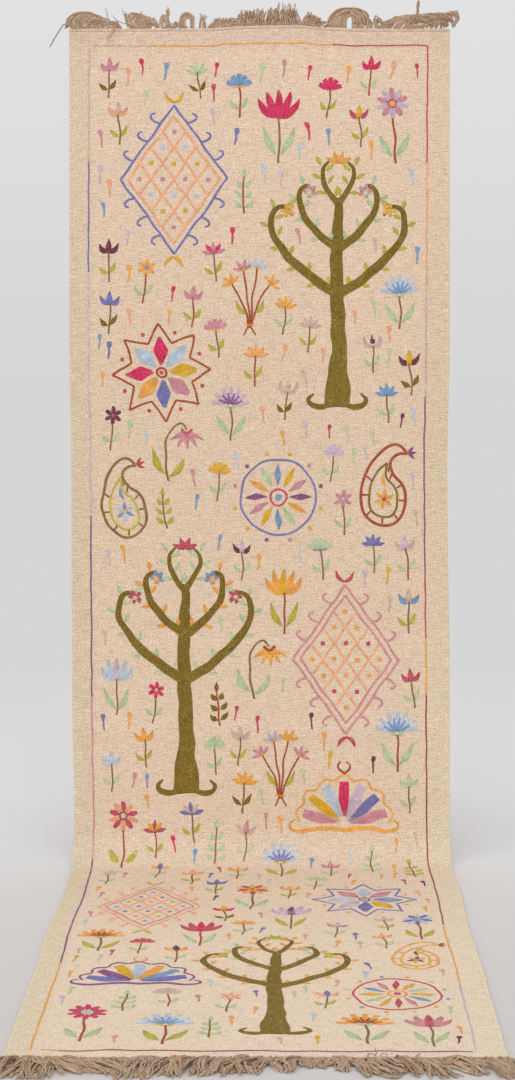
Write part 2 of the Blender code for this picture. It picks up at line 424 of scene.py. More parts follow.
def flecked(tree, colour, value, start, full, most, fleck):
    """Mixes another shade in, from nothing where a value is at start to the most where it is full."""
    return mix(tree, spread(tree, value, start, full, 0, most), colour, fleck)


def heather_group():
    """Uneven dyeing and stray fibres: multiplies a shade by a soft mottle."""
    tree, given, out = new_group(
        "wool_heather",
        (
            ("Color", "Color", None),
            ("Vector", "Vector", None),
            ("Scale", "Float", 400.0),
            ("Amount", "Float", 0.12),
        ),
        (("Color", "Color"), ("Fibre", "Float")),
    )
    fine = noise(tree, given["Vector"], given["Scale"], 3.0, 0.7)
    broad = noise(tree, given["Vector"], calc(tree, "MULTIPLY", given["Scale"], 0.11), 2.0)
    both = calc(tree, "ADD", calc(tree, "MULTIPLY", fine, 0.65), calc(tree, "MULTIPLY", broad, 0.35))
    centred = calc(tree, "SUBTRACT", both, 0.5)
    swing = calc(tree, "MULTIPLY", centred, calc(tree, "MULTIPLY", given["Amount"], 4.0))
    light = calc(tree, "ADD", swing, 1.0)
    tint = node(tree, "CombineXYZ", {"X": light, "Y": light, "Z": light}).outputs[0]
    shaded = node(tree, "VectorMath", {0: given["Color"], 1: tint}, operation="MULTIPLY").outputs[0]
    feed(tree, out["Color"], shaded)
    feed(tree, out["Fibre"], fine)
    return tree


def weave_group():
    """Plain weave on the flat cloth's own metres: crowns of the weft passing over and under the warp."""
    tree, given, out = new_group(
        "plain_weave",
        (("Flat", "Vector", None), ("Warp pitch", "Float", 0.0034), ("Weft pitch", "Float", 0.0024)),
        (("Height", "Float"),),
    )
    wander = noise(tree, given["Flat"], 55.0, 2.0)
    split = node(tree, "SeparateXYZ", {0: given["Flat"]}).outputs
    across = calc(tree, "DIVIDE", split["X"], given["Warp pitch"])
    along = calc(tree, "DIVIDE", split["Y"], given["Weft pitch"])
    along = calc(tree, "ADD", along, calc(tree, "MULTIPLY", wander, 1.6))
    across = calc(tree, "ADD", across, calc(tree, "MULTIPLY", wander, 0.9))
    rows = calc(tree, "FLOOR", along)
    crown = calc(tree, "ABSOLUTE", calc(tree, "SINE", calc(tree, "MULTIPLY", along, math.pi)))
    phase = calc(tree, "MULTIPLY", calc(tree, "ADD", across, rows), math.pi)
    over = calc(tree, "MULTIPLY_ADD", calc(tree, "COSINE", phase), 0.5, 0.5)
    over = calc(tree, "MULTIPLY_ADD", over, 0.6, 0.4)
    feed(tree, out["Height"], calc(tree, "MULTIPLY", calc(tree, "POWER", crown, 0.6), over))
    return tree


def ply_group():
    """Two plies twisted round each other on a yarn whose map runs along it and round it."""
    tree, given, out = new_group(
        "two_ply",
        (("Along", "Float", 0.0), ("Round", "Float", 0.0), ("Turns", "Float", 11.0)),
        (("Height", "Float"),),
    )
    run = calc(tree, "MULTIPLY", given["Along"], given["Turns"])
    phase = calc(tree, "MULTIPLY", calc(tree, "ADD", run, given["Round"]), 2 * math.pi)
    feed(tree, out["Height"], calc(tree, "ABSOLUTE", calc(tree, "SINE", phase)))
    return tree


def place_group(tree, maker, **values):
    made = tree.nodes.new("ShaderNodeGroup")
    made.node_tree = once(maker)
    for label, value in values.items():
        feed(tree, made.inputs[label], value)
    return made.outputs


def new_material(name, roughness, sheen):
    material = bpy.data.materials.new(name)
    material.use_nodes = True
    shader = material.node_tree.nodes["Principled BSDF"]
    shader.inputs["Roughness"].default_value = roughness
    shader.inputs["Sheen Weight"].default_value = sheen
    shader.inputs["Sheen Roughness"].default_value = 0.5
    shader.inputs["Specular IOR Level"].default_value = 0.1
    return material, material.node_tree, shader


def heathered(tree, shader, colour, place, scale, amount):
    """Gives a shader its wool's colour with a soft mottle, and returns the fibres in it."""
    heather = place_group(tree, heather_group, Color=colour, Vector=place, Scale=scale, Amount=amount)
    feed(tree, shader.inputs["Base Color"], heather["Color"])
    return heather["Fibre"]


def bump(tree, shader, height, distance, strength):
    pairs = {"Height": height, "Distance": distance, "Strength": strength}
    feed(tree, shader.inputs["Normal"], node(tree, "Bump", pairs).outputs["Normal"])


# Slow changes of the ground's colour: the ramps that bound each one, as (axis, start, full) on the
# flat cloth, and what it does to red, green and blue; the darkening round the bend at the floor is painted
# shade
GROUND_TONES_AND_PAINTED_SHADE = (
    ((("Y", 0.15, 0.70), ("Y", 2.20, 1.85)), (0.935, 0.953, 0.912)),
    ((("Y", 0.055, 0.030),), (0.910, 0.875, 0.895)),
    ((("Y", 1.05, 1.75),), (1.040, 1.105, 1.180)),
    ((("X", -0.34, -0.36),), (0.970, 0.965, 0.965)),
    ((("X", 0.34, 0.36), ("Y", 0.90, 1.30)), (1.035, 1.045, 1.070)),
    # Painted shade: darker round the bend at the floor
    ((("Y", 1.67, 1.74), ("Y", 1.83, 1.77)), (0.920, 0.932, 0.938)),
    ((("Y", 1.95, 2.30),), (1.025, 1.065, 1.020)),
)


def woven_wool():
    """Heathered undyed wool: pinker inside the border line, yellower at the selvedges, with painted shade in
    the hollows of the weave and round the bend at the floor.
    """
    material, tree, shader = new_material("woven_wool", 0.94, 0.05)
    flat = node(tree, "UVMap", uv_map="flat").outputs["UV"]
    split = node(tree, "SeparateXYZ", {0: flat}).outputs
    side = calc(tree, "ABSOLUTE", split["X"])
    colour = flecked(tree, wool("ground"), side, 0.340, 0.372, 1, wool("margin"))
    colour = flecked(tree, colour, side, 0.3950, 0.3965, 0.5, linear(240, 222, 190))
    for ramps, factor in GROUND_TONES_AND_PAINTED_SHADE:
        share = 1.0
        for axis, start, full in ramps:
            share = calc(tree, "MULTIPLY", spread(tree, split[axis], start, full, 0, 1), share)
        colour = mix(tree, share, colour, factor, "MULTIPLY")
    lots = fibres(tree, flat, 4, 9, 3.0)
    colour = flecked(tree, colour, lots, 0.3, 0.7, 0.12, linear(236, 214, 176))
    yarns = 0.0
    for share, *hairs in ((0.13, 330, 50), (0.21, 50, 350), (0.66, 400, 420, 2.0, 0.8)):
        yarns = calc(tree, "MULTIPLY_ADD", fibres(tree, flat, *hairs), share, yarns)
    colour = flecked(tree, colour, yarns, 0.50, 0.39, 0.74, linear(172, 145, 103))
    colour = flecked(tree, colour, yarns, 0.51, 0.60, 0.84, linear(255, 241, 223))
    slubs = fibres(tree, flat, 26, 300, 1.0, 0.5)
    colour = flecked(tree, colour, slubs, 0.60, 0.72, 0.26, linear(176, 144, 112))
    specks = fibres(tree, flat, 85, 110, 0.0, 0.4)
    colour = flecked(tree, colour, specks, 0.84, 0.87, 0.40, linear(132, 92, 74))
    weave = place_group(tree, weave_group, Flat=flat)
    # Painted shade: the wool is darker in the hollows between the weft's crowns
    crowns = calc(tree, "POWER", weave["Height"], 0.7)
    colour = flecked(tree, colour, crowns, 1.0, 0.0, 0.22, linear(160, 126, 98))
    fibre = heathered(tree, shader, colour, flat, 520.0, 0.06)
    feed(tree, shader.inputs["Roughness"], spread(tree, fibre, 0.3, 0.7, 0.86, 0.97))
    fuzz = calc(tree, "MULTIPLY_ADD", fibre, 0.35, weave["Height"])
    bump(tree, shader, fuzz, 0.0007, 0.85)
    return material


def stitched_wool():
    """Loosely spun embroidery wool, its shade held by the stitches."""
    material, tree, shader = new_material("stitched_wool", 0.9, 0.04)
    place = node(tree, "TexCoord").outputs["Object"]
    dye = node(tree, "Attribute", attribute_name="wool").outputs["Color"]
    hairs = noise(tree, place, 430.0, 2.0, 0.7)
    dye = flecked(tree, dye, hairs, 0.54, 0.68, 0.42, linear(222, 204, 172))
    fibre = heathered(tree, shader, dye, place, 520.0, 0.30)
    feed(tree, shader.inputs["Roughness"], spread(tree, fibre, 0.3, 0.7, 0.78, 0.92))
    bump(tree, shader, fibre, 0.0006, 0.8)
    return material


def plied_wool():
    """Two-ply warp yarn with hairs of another shade and painted shade in the grooves between its plies, its
    own shade held by each yarn.
    """
    material, tree, shader = new_material("plied_wool", 0.94, 0.10)
    place = node(tree, "TexCoord").outputs["Object"]
    run = node(tree, "SeparateXYZ", {0: node(tree, "UVMap", uv_map="yarn").outputs["UV"]}).outputs
    dye = node(tree, "Attribute", attribute_name="wool").outputs["Color"]
    dark = mix(tree, 0.6, dye, wool("warp_dark"), "MULTIPLY")
    ply = place_group(tree, ply_group, Along=run["Y"], Round=run["X"])
    hairs = noise(tree, place, 210.0, 2.0, 0.6)
    dye = flecked(tree, dye, hairs, 0.42, 0.68, 0.28, dark)
    # Painted shade in the grooves between the two plies
    dye = flecked(tree, dye, ply["Height"], 0.35, 0.0, 0.34, dark)
    fibre = heathered(tree, shader, dye, place, 900.0, 0.16)
    both = calc(tree, "MULTIPLY_ADD", fibre, 0.4, ply["Height"])
    bump(tree, shader, both, 0.0006, 1.0)
    return material


def studio_floor():
    """Matt pale paper that melts into the backdrop far from the cloth, with painted shade that darkens it
    towards the camera and painted light that brightens it behind the cloth, where the cloth's shadow falls.
    """
    material, tree, shader = new_material("studio_floor", 0.9, 0.0)
    place = node(tree, "TexCoord").outputs["Object"]
    run = node(tree, "SeparateXYZ", {0: place}).outputs["Y"]
    # Painted shade and light: darker towards the camera, lighter behind the cloth over its shadow
    back = calc(tree, "POWER", spread(tree, run, -1.3, 0.6, 0, 1), 2.0)
    paper = mix(tree, back, linear(206, 204, 204), linear(230, 230, 231))
    feed(tree, shader.inputs["Base Color"], paper)
    away = node(tree, "VectorMath", {0: place, 1: (0, -0.7, 0)}, operation="DISTANCE").outputs["Value"]
    feed(tree, shader.inputs["Alpha"], spread(tree, away, 0.9, 3.0, 1, 0))
    return material


def studio_world():
    """Soft light from all round, seen as a pale backdrop that is lighter above."""
    world = bpy.data.worlds.new("studio")
    world.use_nodes = True
    tree = world.node_tree
    tree.nodes.clear()
    height = node(tree, "SeparateXYZ", {0: node(tree, "TexCoord").outputs["Generated"]}).outputs["Z"]
    backdrop = flecked(tree, linear(215, 214, 214), height, -0.04, 0.15, 1, linear(226, 226, 226))
    seen = node(tree, "LightPath").outputs["Is Camera Ray"]
    colour = mix(tree, seen, (0.745, 0.74, 0.735), backdrop)
    shader = node(tree, "Background", {"Color": colour})
    tree.links.new(shader.outputs[0], node(tree, "OutputWorld").inputs["Surface"])
    return world


# ---------------------------------------------------------------- chain stitch

# Cross-section of a stitch, and how much of it is left at its ends: in front, and on the reverse
CHAIN = (((0.62, 0.0), (0.33, 0.90), (0.0, 0.66), (-0.33, 0.90), (-0.62, 0.0)), 0.95)
BACKSTITCH = (((0.5, 0.0), (0.0, 1.0), (-0.5, 0.0)), 0.6)
# The backs are this much larger than the stitches
BACK_SIZE = 1.65
# How far the stitches are sunk in the cloth
STITCH_SUNK = 0.0002
STRIPS = {}


def stitch_tile(section, pinch):
    """One stitch, open at both ends: two strands with a groove between them, or one on the reverse."""
    let_go()
    bpy.ops.mesh.primitive_cylinder_add(
        vertices=len(section),
        radius=0.5,
        depth=1.0,
        end_fill_type="NOTHING",
        location=(0.5, 0, 0),
        rotation=(0, math.pi / 2, 0),
    )
    tile = bpy.context.active_object
    bpy.ops.object.transform_apply(location=True, rotation=True, scale=True)
    cut_at(tile, 0.5)
    first = tile.data.vertices[0].co
    start, step = math.atan2(first.z, first.y), 2 * math.pi / len(section)
    for vert in tile.data.vertices:
        corner = round((math.atan2(vert.co.z, vert.co.y) - start) / step) % len(section)
        full = 1.0 if 0.25 < vert.co.x < 0.75 else pinch
        side, rise = section[corner]
        vert.co = (vert.co.x, side * full, rise * full**2)
    return tile


def strip_of(rows, count, kind):
    """The mesh of some rows of this many stitches, two units wide, closed at its ends."""
    if (rows, count, kind) not in STRIPS:
        strip = stitch_tile(*kind)
        apply_modifier(strip, "ARRAY", count=count, use_merge_vertices=True)
        edit(strip, lambda: bpy.ops.mesh.fill_holes(sides=0), face_out)
        beside = {"use_relative_offset": False, "use_constant_offset": True}
        apply_modifier(strip, "ARRAY", count=rows, constant_offset_displace=(0, 1, 0), **beside)
        centre = Matrix.Translation((0, (1 - rows) / rows, 0)) @ Matrix.Diagonal((1, 2 / rows, 1, 1))
        strip.data.transform(centre)
        STRIPS[rows, count, kind] = strip.data
        bpy.data.objects.remove(strip)
    return STRIPS[rows, count, kind]


def stitch_band(part, widths, points, back):
    """Rows of stitches laid along points, in millimetres, with a half width at each."""
    s = sizes()
    kind, size, height = (BACKSTITCH, BACK_SIZE, s.back_height) if back else (CHAIN, 1.0, s.stitch_height)
    let_go()
    bpy.ops.curve.primitive_bezier_curve_add()
    guide = bpy.context.active_object
    guide.data.dimensions = "2D"
    guide.data.fill_mode = "NONE"
    guide.data.use_stretch = guide.data.use_deform_bounds = guide.data.use_radius = True
    guide.data.resolution_u = 8
    spline = guide.data.splines[0]
    spline.bezier_points.add(len(points) - 2)
    for bend, place, width in zip(spline.bezier_points, points, widths):
        bend.co = (place[0] / 1000, place[1] / 1000, 0)
        bend.radius = width / 1000
        bend.handle_left_type = bend.handle_right_type = "AUTO"
    span = sum(math.dist(a, b) for a, b in zip(points, points[1:]))
    rows = max(1, round(2 * max(widths) / 1000 / (size * s.row)))
    count = max(2, round(span / 1000 / (size * s.stitch)))
    band = new_object("band", strip_of(rows, count, kind).copy())
    band.data.transform(Matrix.Diagonal((1, 1, height * 1000 / max(widths), 1)))
    roles = band.data.attributes.new("part", "INT", "FACE")
    roles.data.foreach_set("value", [part] * len(band.data.polygons))
    apply_modifier(band, "CURVE", object=guide)
    bpy.data.curves.remove(guide.data)
    return band


def line(part, points, width):
    return part, [width] * len(points), points


def leaf(part, points, width):
    return part, [0.5] + [width] * (len(points) - 2) + [0.4], points


def mirrored(*bands):
    return list(bands) + [(part, widths, [(-x, y) for x, y in points]) for part, widths, points in bands]


def around(centre, angle, *reaches):
    """Places at these distances from a centre, at an angle from straight up, clockwise."""
    turn = math.radians(angle)
    return [(centre[0] + r * math.sin(turn), centre[1] + r * math.cos(turn)) for r in reaches]


def rays(parts, centre, angles, reaches, widths):
    """Bands that stand round a centre, their parts taken in turn."""
    return [(parts[i % len(parts)], widths, around(centre, a, *reaches)) for i, a in enumerate(angles)]


def ring(part, centre, radius, width, count):
    return line(part, [around(centre, 360 * i / count, radius)[0] for i in range(count + 1)], width)


def dot(part, centre, radius):
    x, y = centre
    ends = 0.9 * radius
    return part, [radius * 0.7, radius, radius * 0.7], [(x - ends, y), (x, y), (x + ends, y)]


# ---------------------------------------------------------------- motifs, in millimetres from their foot


def sprig_foot(height, spread_out=1.0):
    """A thin stem with two uneven leaves."""
    stem = (0, (1.7, 1.6, 1.5), ((0, 0), (1.2, height * 0.5), (0, height)))
    left = leaf(1, ((-1, 17), (-11 * spread_out, 22), (-22 * spread_out, 35)), 5.4)
    right = leaf(1, ((1, 17), (9 * spread_out, 27), (17 * spread_out, 44)), 5.4)
    return [stem, left, right]


def tulip():
    petals = mirrored((2, (3.0, 6.4, 0.5), ((0, 64), (11, 67), (22, 84))))
    return sprig_foot(66) + petals + [(3, (4.6, 6.6, 0.5), ((0, 61), (0, 76), (0, 95)))]


def bell():
    petals = rays((2, 3), (0, 60), (-74, -38, 0, 38, 74), (1, 15, 28), (2.2, 5.0, 0.5))
    return sprig_foot(62, 1.05) + petals


def cupped():
    cup = mirrored((2, (3.0, 5.6, 4.4, 0.5), ((0, 62), (12, 65), (18, 76), (17, 90))))
    return sprig_foot(64, 0.9) + cup + [dot(3, (0, 74), 6), line(3, ((0, 78), (0, 88)), 1.8)]


def starlet():
    petals = rays((2,), (0, 76), range(0, 360, 60), (3, 10, 19), (1.8, 5.0, 2.8))
    return sprig_foot(60) + petals + [dot(3, (0, 76), 4.2)]


def fan():
    petals = rays((2,), (0, 62), range(-66, 67, 33), (2, 16, 26), (2.6, 5.4, 4.6))
    return sprig_foot(62, 0.95) + petals + mirrored(line(3, ((0, 62), (15, 64)), 1.7))


def leafy():
    bands = [(0, (1.8, 1.8, 1.4), ((0, 0), (-1.5, 40), (0, 80)))]
    for level, reach in ((12, 21), (34, 19), (56, 14)):
        bands += mirrored(leaf(1, ((1, level), (reach * 0.55, level + 5), (reach, level + 16)), 6.4))
    return bands + [leaf(1, ((0, 70), (0, 83), (0, 98)), 5.4)]


def seed():
    pin = (0, (1.3, 1.7, 1.9), ((0, 0), (0.8, 12), (0, 25)))
    return [pin, (1, (2.6, 5.0, 3.6), ((0, 22), (0.4, 28), (0, 34)))]


def flower_foot(height, reach=38, rise=84):
    """A stem with a pair of long leaves."""
    stem = (0, (2.3, 2.2, 2.0), ((0, 0), (2, height * 0.5), (0, height)))
    return [stem] + mirrored(leaf(1, ((2, 12), (reach * 0.52, rise * 0.48), (reach, rise)), 9.0))


def great_tulip():
    petals = mirrored(
        (2, (5, 9.5, 7.5, 0.6), ((2, 103), (20, 108), (36, 121), (48, 144))),
        (2, (5, 10.0, 7.4, 0.6), ((2, 103), (13, 119), (22, 140), (26, 162))),
    )
    middle_petal = (3, (8, 10.5, 7.5, 0.6), ((0, 99), (0, 120), (0, 142), (0, 168)))
    return flower_foot(104) + petals + [middle_petal]


def rosette():
    petals = rays((2, 3), (0, 128), range(0, 360, 36), (9, 20, 33), (2.2, 6.2, 3.8))
    return flower_foot(96, 34, 66) + petals + [ring(4, (0, 128), 8, 1.8, 8), dot(5, (0, 128), 4.4)]


def carnation():
    outer = rays((2,), (0, 92), range(-78, 79, 26), (4, 26, 50), (1.6, 4.6, 5.4))
    inner = rays((3,), (0, 92), range(-65, 66, 26), (4, 20, 34), (1.4, 3.6, 2.2))
    return flower_foot(88, 42, 74) + outer + inner + mirrored(leaf(1, ((0, 84), (9, 90), (17, 104)), 4.5))


def spray():
    """Four small flowers whose stems are tied together."""
    bands = []
    for i, (x, y) in enumerate(((-38, 92), (-14, 122), (16, 126), (42, 90))):
        bands.append((0, (1.8, 1.7, 1.6), ((x * 0.05, 0), (x * 0.35, y * 0.5), (x, y))))
        angles = [x * 0.9 + a for a in (-70, -24, 24, 70)]
        bands += rays((2 + i % 3,), (x, y), angles, (2, 11, 22), (1.2, 4.2, 1.6))
        bands.append(dot(5, (x, y + 1), 3.8))
    bands += mirrored(leaf(1, ((2, 26), (20, 38), (30, 60)), 6), (0, (1.6, 1.4), ((2, 4), (12, -16))))
    return bands + [line(5, ((-9, 8), (0, 5), (9, 8)), 2.2)]


def nodding():
    """A flower that hangs its head."""
    stem = (0, (2.2, 2.1, 2.0, 1.9, 1.6), ((0, 0), (-6, 56), (4, 104), (26, 120), (40, 106)))
    petals = rays((2, 3), (40, 104), range(116, 245, 32), (2, 20, 40), (1.5, 5.2, 1.0))
    left = leaf(1, ((-2, 10), (-24, 34), (-34, 74)), 8.5)
    right = leaf(1, ((-2, 6), (22, 22), (36, 52)), 8.0)
    return [stem, *petals, left, right, line(4, ((28, 108), (40, 98), (52, 108)), 2.6)]


def sprouts(part, points, count, reach, width):
    """Leaves that stand out on alternate sides of a line."""
    run = smooth_run(points, count + 3)
    bands = []
    for i in range(1, count + 1):
        heading = (run[i + 1] - run[i - 1]) / np.linalg.norm(run[i + 1] - run[i - 1])
        outward = np.array((-heading[1], heading[0])) * (1 if i % 2 else -1)
        root = run[i] + outward * width
        tip = root + (outward * 0.8 + heading * 0.6) * reach
        belly = root * 0.5 + tip * 0.5 + heading * 1.2
        bands.append(leaf(part, [tuple(place) for place in (root, belly, tip)], width))
    return bands


def candelabra():
    """A thick stem with ram's-horn arms that carry leaves and rosettes."""
    trunk = ((0, 0), (3, 70), (0, 170), (-3, 270), (0, 350), (2, 412))
    bands = [(0, (15, 15, 14, 12.5, 10.5, 7), trunk)]
    bands += mirrored((0, (8, 9, 6, 1), ((17, 0), (16, 30), (12, 76), (8, 130))))
    bands += mirrored((0, (5, 6, 4.5, 1.8), ((14, 6), (38, 2), (56, 12), (46, 28))))
    arms = (
        ((9.5, 9, 7.5, 6, 4.4, 2.2), ((2, 222), (54, 258), (104, 306), (130, 362), (110, 396), (88, 376))),
        ((8.5, 7.5, 6, 4.4, 2.2), ((0, 310), (42, 346), (74, 398), (64, 434), (44, 424))),
        ((6, 5, 3.8, 2.2), ((0, 398), (22, 432), (30, 468), (17, 484))),
    )
    for number, (widths, points) in enumerate(arms):
        leaves = sprouts(1 + number % 2, points, 12 - 3 * number, 22, 5.0)
        bands += mirrored((0, widths, points), *leaves)
    for i, centre in enumerate(((98, 388), (53, 426))):
        bands += mirrored(*rays((3 + i,), centre, range(20, 380, 72), (2, 7, 14), (1.4, 4.4, 2.0)))
    return bands + rays((3,), (2, 478), (-62, -21, 21, 62), (2, 14, 28), (1.6, 5.6, 0.8))


def star():
    """Eight coloured kites in an outline of two crossed squares."""
    bands = []
    for i in range(8):
        bands += rays((i % 6,), (0, 0), (45 * i,), (13, 46, 82), (2.0, 15.5, 1.0))
        corner, following = around((0, 0), 45 * i, 104)[0], around((0, 0), 45 * i + 45, 104)[0]
        valley, beyond = around((0, 0), 45 * i + 22.5, 66, 88)
        bands += [line(6, (corner, valley), 2.0), line(6, (valley, following), 2.0), dot(7, beyond, 4.2)]
    return bands + [ring(6, (0, 0), 10, 2.2, 8), dot(7, (0, 0), 4.5)]


def trellis():
    """A lozenge lattice with latch hooks along its sides."""
    wide, tall, inset = 112, 158, 0.86
    shares = (0.25, 0.5, 0.75)
    corners = ((0, tall), (wide, 0), (0, -tall), (-wide, 0))
    bands = []
    for (ax, ay), (bx, by) in zip(corners, corners[1:] + corners[:1]):
        bands.append(line(0, ((ax, ay), ((ax + bx) / 2 + 1, (ay + by) / 2), (bx, by)), 2.2))
        bands.append(line(1, ((ax * inset, ay * inset), (bx * inset, by * inset)), 2.0))
        for share in shares:
            x, y = ax + (bx - ax) * share, ay + (by - ay) * share
            out, up = math.copysign(1, x), math.copysign(1, y)
            hook = [(x + a * out, y + b * up) for a, b in ((0, 0), (13, 5), (20, 16), (11, 22))]
            bands.append((0, (2.2, 2.2, 2.1, 1.7), hook))
    for share in shares:
        near, far = inset * share, inset * (share - 1)
        for sign in (1, -1):
            bands.append(line(2, ((wide * far * sign, tall * near), (wide * near * sign, tall * far)), 1.9))
    for i in range(4):
        for j in range(4):
            place = ((i - j) * wide * 0.215, (i + j - 3) * tall * 0.215)
            bands.append(dot(3 + (i + j) % 3, place, 5.0))
    for up in (1, -1):
        horn = [(x, (tall + rise) * up) for x, rise in ((0, 6), (12, 14), (20, 30))]
        bands += mirrored((4, (2.2, 4.5, 1.0), horn))
    return bands


def paisley():
    """A bent drop with a hatched rim and a small flower inside."""
    rim = ((40, 150), (22, 166), (0, 160), (-18, 140), (-38, 100), (-44, 58), (-28, 16), (4, 0))
    rim += ((36, 16), (47, 54), (36, 88), (16, 110), (8, 130), (20, 146), (40, 150))
    inner = ((2, 128), (-16, 104), (-27, 66), (-18, 28), (5, 17), (27, 30), (30, 58), (20, 82), (4, 100))
    bands = [line(0, rim, 2.6), line(1, inner + inner[:1], 2.0)]
    for x, y in rim[4:13]:
        rise = y - 58
        bands.append(line(0, ((x * 0.93, 58 + rise * 0.93), (x * 0.70 + 1, 58 + rise * 0.72)), 1.7))
    bands += rays((2, 3), (3, 54), range(0, 360, 60), (4, 11, 20), (1.6, 4.8, 1.2))
    bands += [dot(4, (3, 54), 4.0), leaf(2, ((4, 78), (-1, 90), (-2, 108)), 4.2)]
    return bands + rays((5,), (40, 150), (40, 80, 120), (2, 9, 18), (1.2, 3.4, 1.0))


def shell():
    """A palmette of coloured gores over a scroll."""
    middles = range(-75, 76, 25)
    scroll = ((0, -8), (52, -3), (100, -10), (116, 4), (104, 14))
    bands = rays(range(6), (0, 4), middles, (10, 56, 92), (2.4, 11.5, 9.0))
    bands += mirrored((6, (4.4, 4.2, 3.6, 2.6, 1.8), scroll))
    for angle in middles:
        arc = [around((0, 4), angle + turn, reach)[0] for turn, reach in ((-12, 96), (0, 106), (12, 96))]
        bands.append(line(6, arc, 2.0))
    return bands + mirrored((7, (2.0, 1.9, 1.4), ((0, 112), (13, 128), (6, 138))))


def wheel():
    """A round rosette of leaf-shaped rays."""
    bands = [ring(6, (0, 0), 80, 2.0, 20), ring(7, (0, 0), 17, 2.2, 8), dot(0, (0, 0), 7)]
    bands += rays(range(6), (0, 0), range(0, 360, 30), (23, 48, 72), (1.4, 7.2, 1.0))
    return bands + [dot(1 + i % 4, around((0, 0), 30 * i + 15, 94)[0], 4.4) for i in range(12)]


MOTIFS = {}


def motif(maker, back=False):
    """A motif's flat mesh, worked once and then copied."""
    if (maker, back) not in MOTIFS:
        worked = join([stitch_band(*band, back) for band in maker()], maker.__name__)
        edit(worked, face_out)
        MOTIFS[maker, back] = worked.data
        bpy.data.objects.remove(worked)
    return MOTIFS[maker, back]


# Faces that one tone of a skein runs over, how far the tones lie apart, the painted shade in the grooves
# between the strands, and how much lighter the painted highlight makes their crowns
SKEIN_FACES = 10
SKEIN_TONES = (0.87, 1.13)
GROOVE_PAINTED_SHADE = 0.66
CROWN_PAINTED_HIGHLIGHT = 0.40


def dyed(mesh, colours):
    """Gives every part of a motif its wool, uneven from stitch to stitch, with painted shade between the rows
    and a painted highlight on their crowns.
    """
    parts = gathered(mesh.attributes["part"].data, "value")
    shades = np.array([(*wool(c), 1.0) for c in colours])[np.minimum(parts, len(colours) - 1)]
    skeins = np.random.default_rng(len(parts)).uniform(*SKEIN_TONES, len(parts) // SKEIN_FACES + 1)
    shades[:, :3] *= np.repeat(skeins, SKEIN_FACES)[: len(parts), None]
    shades = np.repeat(shades, gathered(mesh.polygons, "loop_total"), axis=0)
    # Painted shade and highlight: the wool is darker low on the sides of the stitches and lighter on their
    # crowns
    height = np.abs(corners_of(mesh)[:, 2])
    rise = (height - height.min()) / (height.max() - height.min())
    rise = rise[gathered(mesh.loops, "vertex_index")]
    shades[:, :3] *= (GROOVE_PAINTED_SHADE + CROWN_PAINTED_HIGHLIGHT * rise)[:, None]
    layer = mesh.color_attributes.new("wool", "FLOAT_COLOR", "CORNER")
    layer.data.foreach_set("color", shades.ravel())
    mesh.attributes.remove(mesh.attributes["part"])


def placing(across, along, turn, scale, back=False):
    """Where a motif's own flat mesh goes on the flat cloth, or under it."""
    side, sunk = (-1, 0.0) if back else (1, STITCH_SUNK)
    place = Matrix.Translation((across, -along, side * (sizes().thickness / 2 - sunk)))
    return place @ Matrix.Rotation(math.radians(turn), 4, "Z") @ Matrix.Diagonal((scale, scale, side, 1))


def place_motif(maker, across, along, turn, scale, colours, back):
    mesh = motif(maker, back).copy()
    mesh.transform(placing(across, along, turn, scale, back))
    dyed(mesh, colours)
    return new_object(maker.__name__, mesh)


SEWN = []


def sew_on(name, rows, back=False, wander=0.0009):
    """Makes one piece of motifs, each given as (maker, across, along, turn, size, wools), on the cloth."""
    piece = join([place_motif(*row, back) for row in rows], name)
    drape(piece, wander)
    if back:
        edit(piece, face_out)
    else:
        SEWN.extend(rows)
    finish(piece, once(stitched_wool))


# ---------------------------------------------------------------- where the motifs go

# The field inside the border line, and the cells in which its crowding is marked, one map for each
# clearance in cells
FIELD_ACROSS = (-0.343, 0.338)
FIELD_ALONG = (0.056, 2.800)
CELL = 0.004
CELLS = (220, 740)
FIRST_CELL = -0.42
CROWDED = {reach: np.zeros(CELLS, bool) for reach in (2, 3)}
# Places are tried on rings round the one asked for: their spacing, how many places there are for a
# metre of radius, and the turns in radians from place to place and for a metre of radius
RING_SPACING = 0.006
RING_PLACES = 900
PLACE_TURN = 2.4
RING_TURN = 50


def footprint(maker, across, along, turn, scale):
    """The cells of the flat cloth that a placed motif's stitches touch."""
    place = np.array(placing(across, along, turn, scale))
    flat = corners_of(motif(maker)) @ place[:3, :3].T + place[:3, 3]
    return np.round((flat[:, :2] * (1, -1) - (FIRST_CELL, 0)) / CELL).astype(int)


def take(cells, solid=False):
    """Marks these cells, or all of each row between them, as crowded, and what is in reach of them."""
    cells = np.unique(cells, axis=0)
    if solid:
        rows = [(row, cells[cells[:, 1] == row, 0]) for row in np.unique(cells[:, 1])]
        spans = [(row, range(columns.min(), columns.max() + 1)) for row, columns in rows]
        cells = np.array([(i, row) for row, span in spans for i in span])
    for reach, crowded in CROWDED.items():
        span = range(-reach, reach + 1)
        for offset in [(i, j) for i in span for j in span if i * i + j * j <= reach * reach + 1]:
            i, j = np.clip(cells + offset, 0, np.array(CELLS) - 1).T
            crowded[i, j] = True


def fits(cells, clearance):
    across, along = cells[:, 0] * CELL + FIRST_CELL, cells[:, 1] * CELL
    for places, (first, last) in ((across, FIELD_ACROSS), (along, FIELD_ALONG)):
        if places.min() < first or places.max() > last:
            return False
    return not CROWDED[clearance][cells[:, 0], cells[:, 1]].any()


def settle(maker, across, along, turn, scale, clearance, furthest):
    """The clear place nearest to the one asked for, or None."""
    for reach in np.arange(0, furthest, RING_SPACING):
        for step in range(max(1, round(reach * RING_PLACES))):
            angle = PLACE_TURN * step + RING_TURN * reach
            x, y = across + reach * math.cos(angle), along + reach * math.sin(angle)
            place = (maker, x, y, turn, scale)
            cells = footprint(*place)
            if fits(cells, clearance):
                take(cells)
                return place
    return None


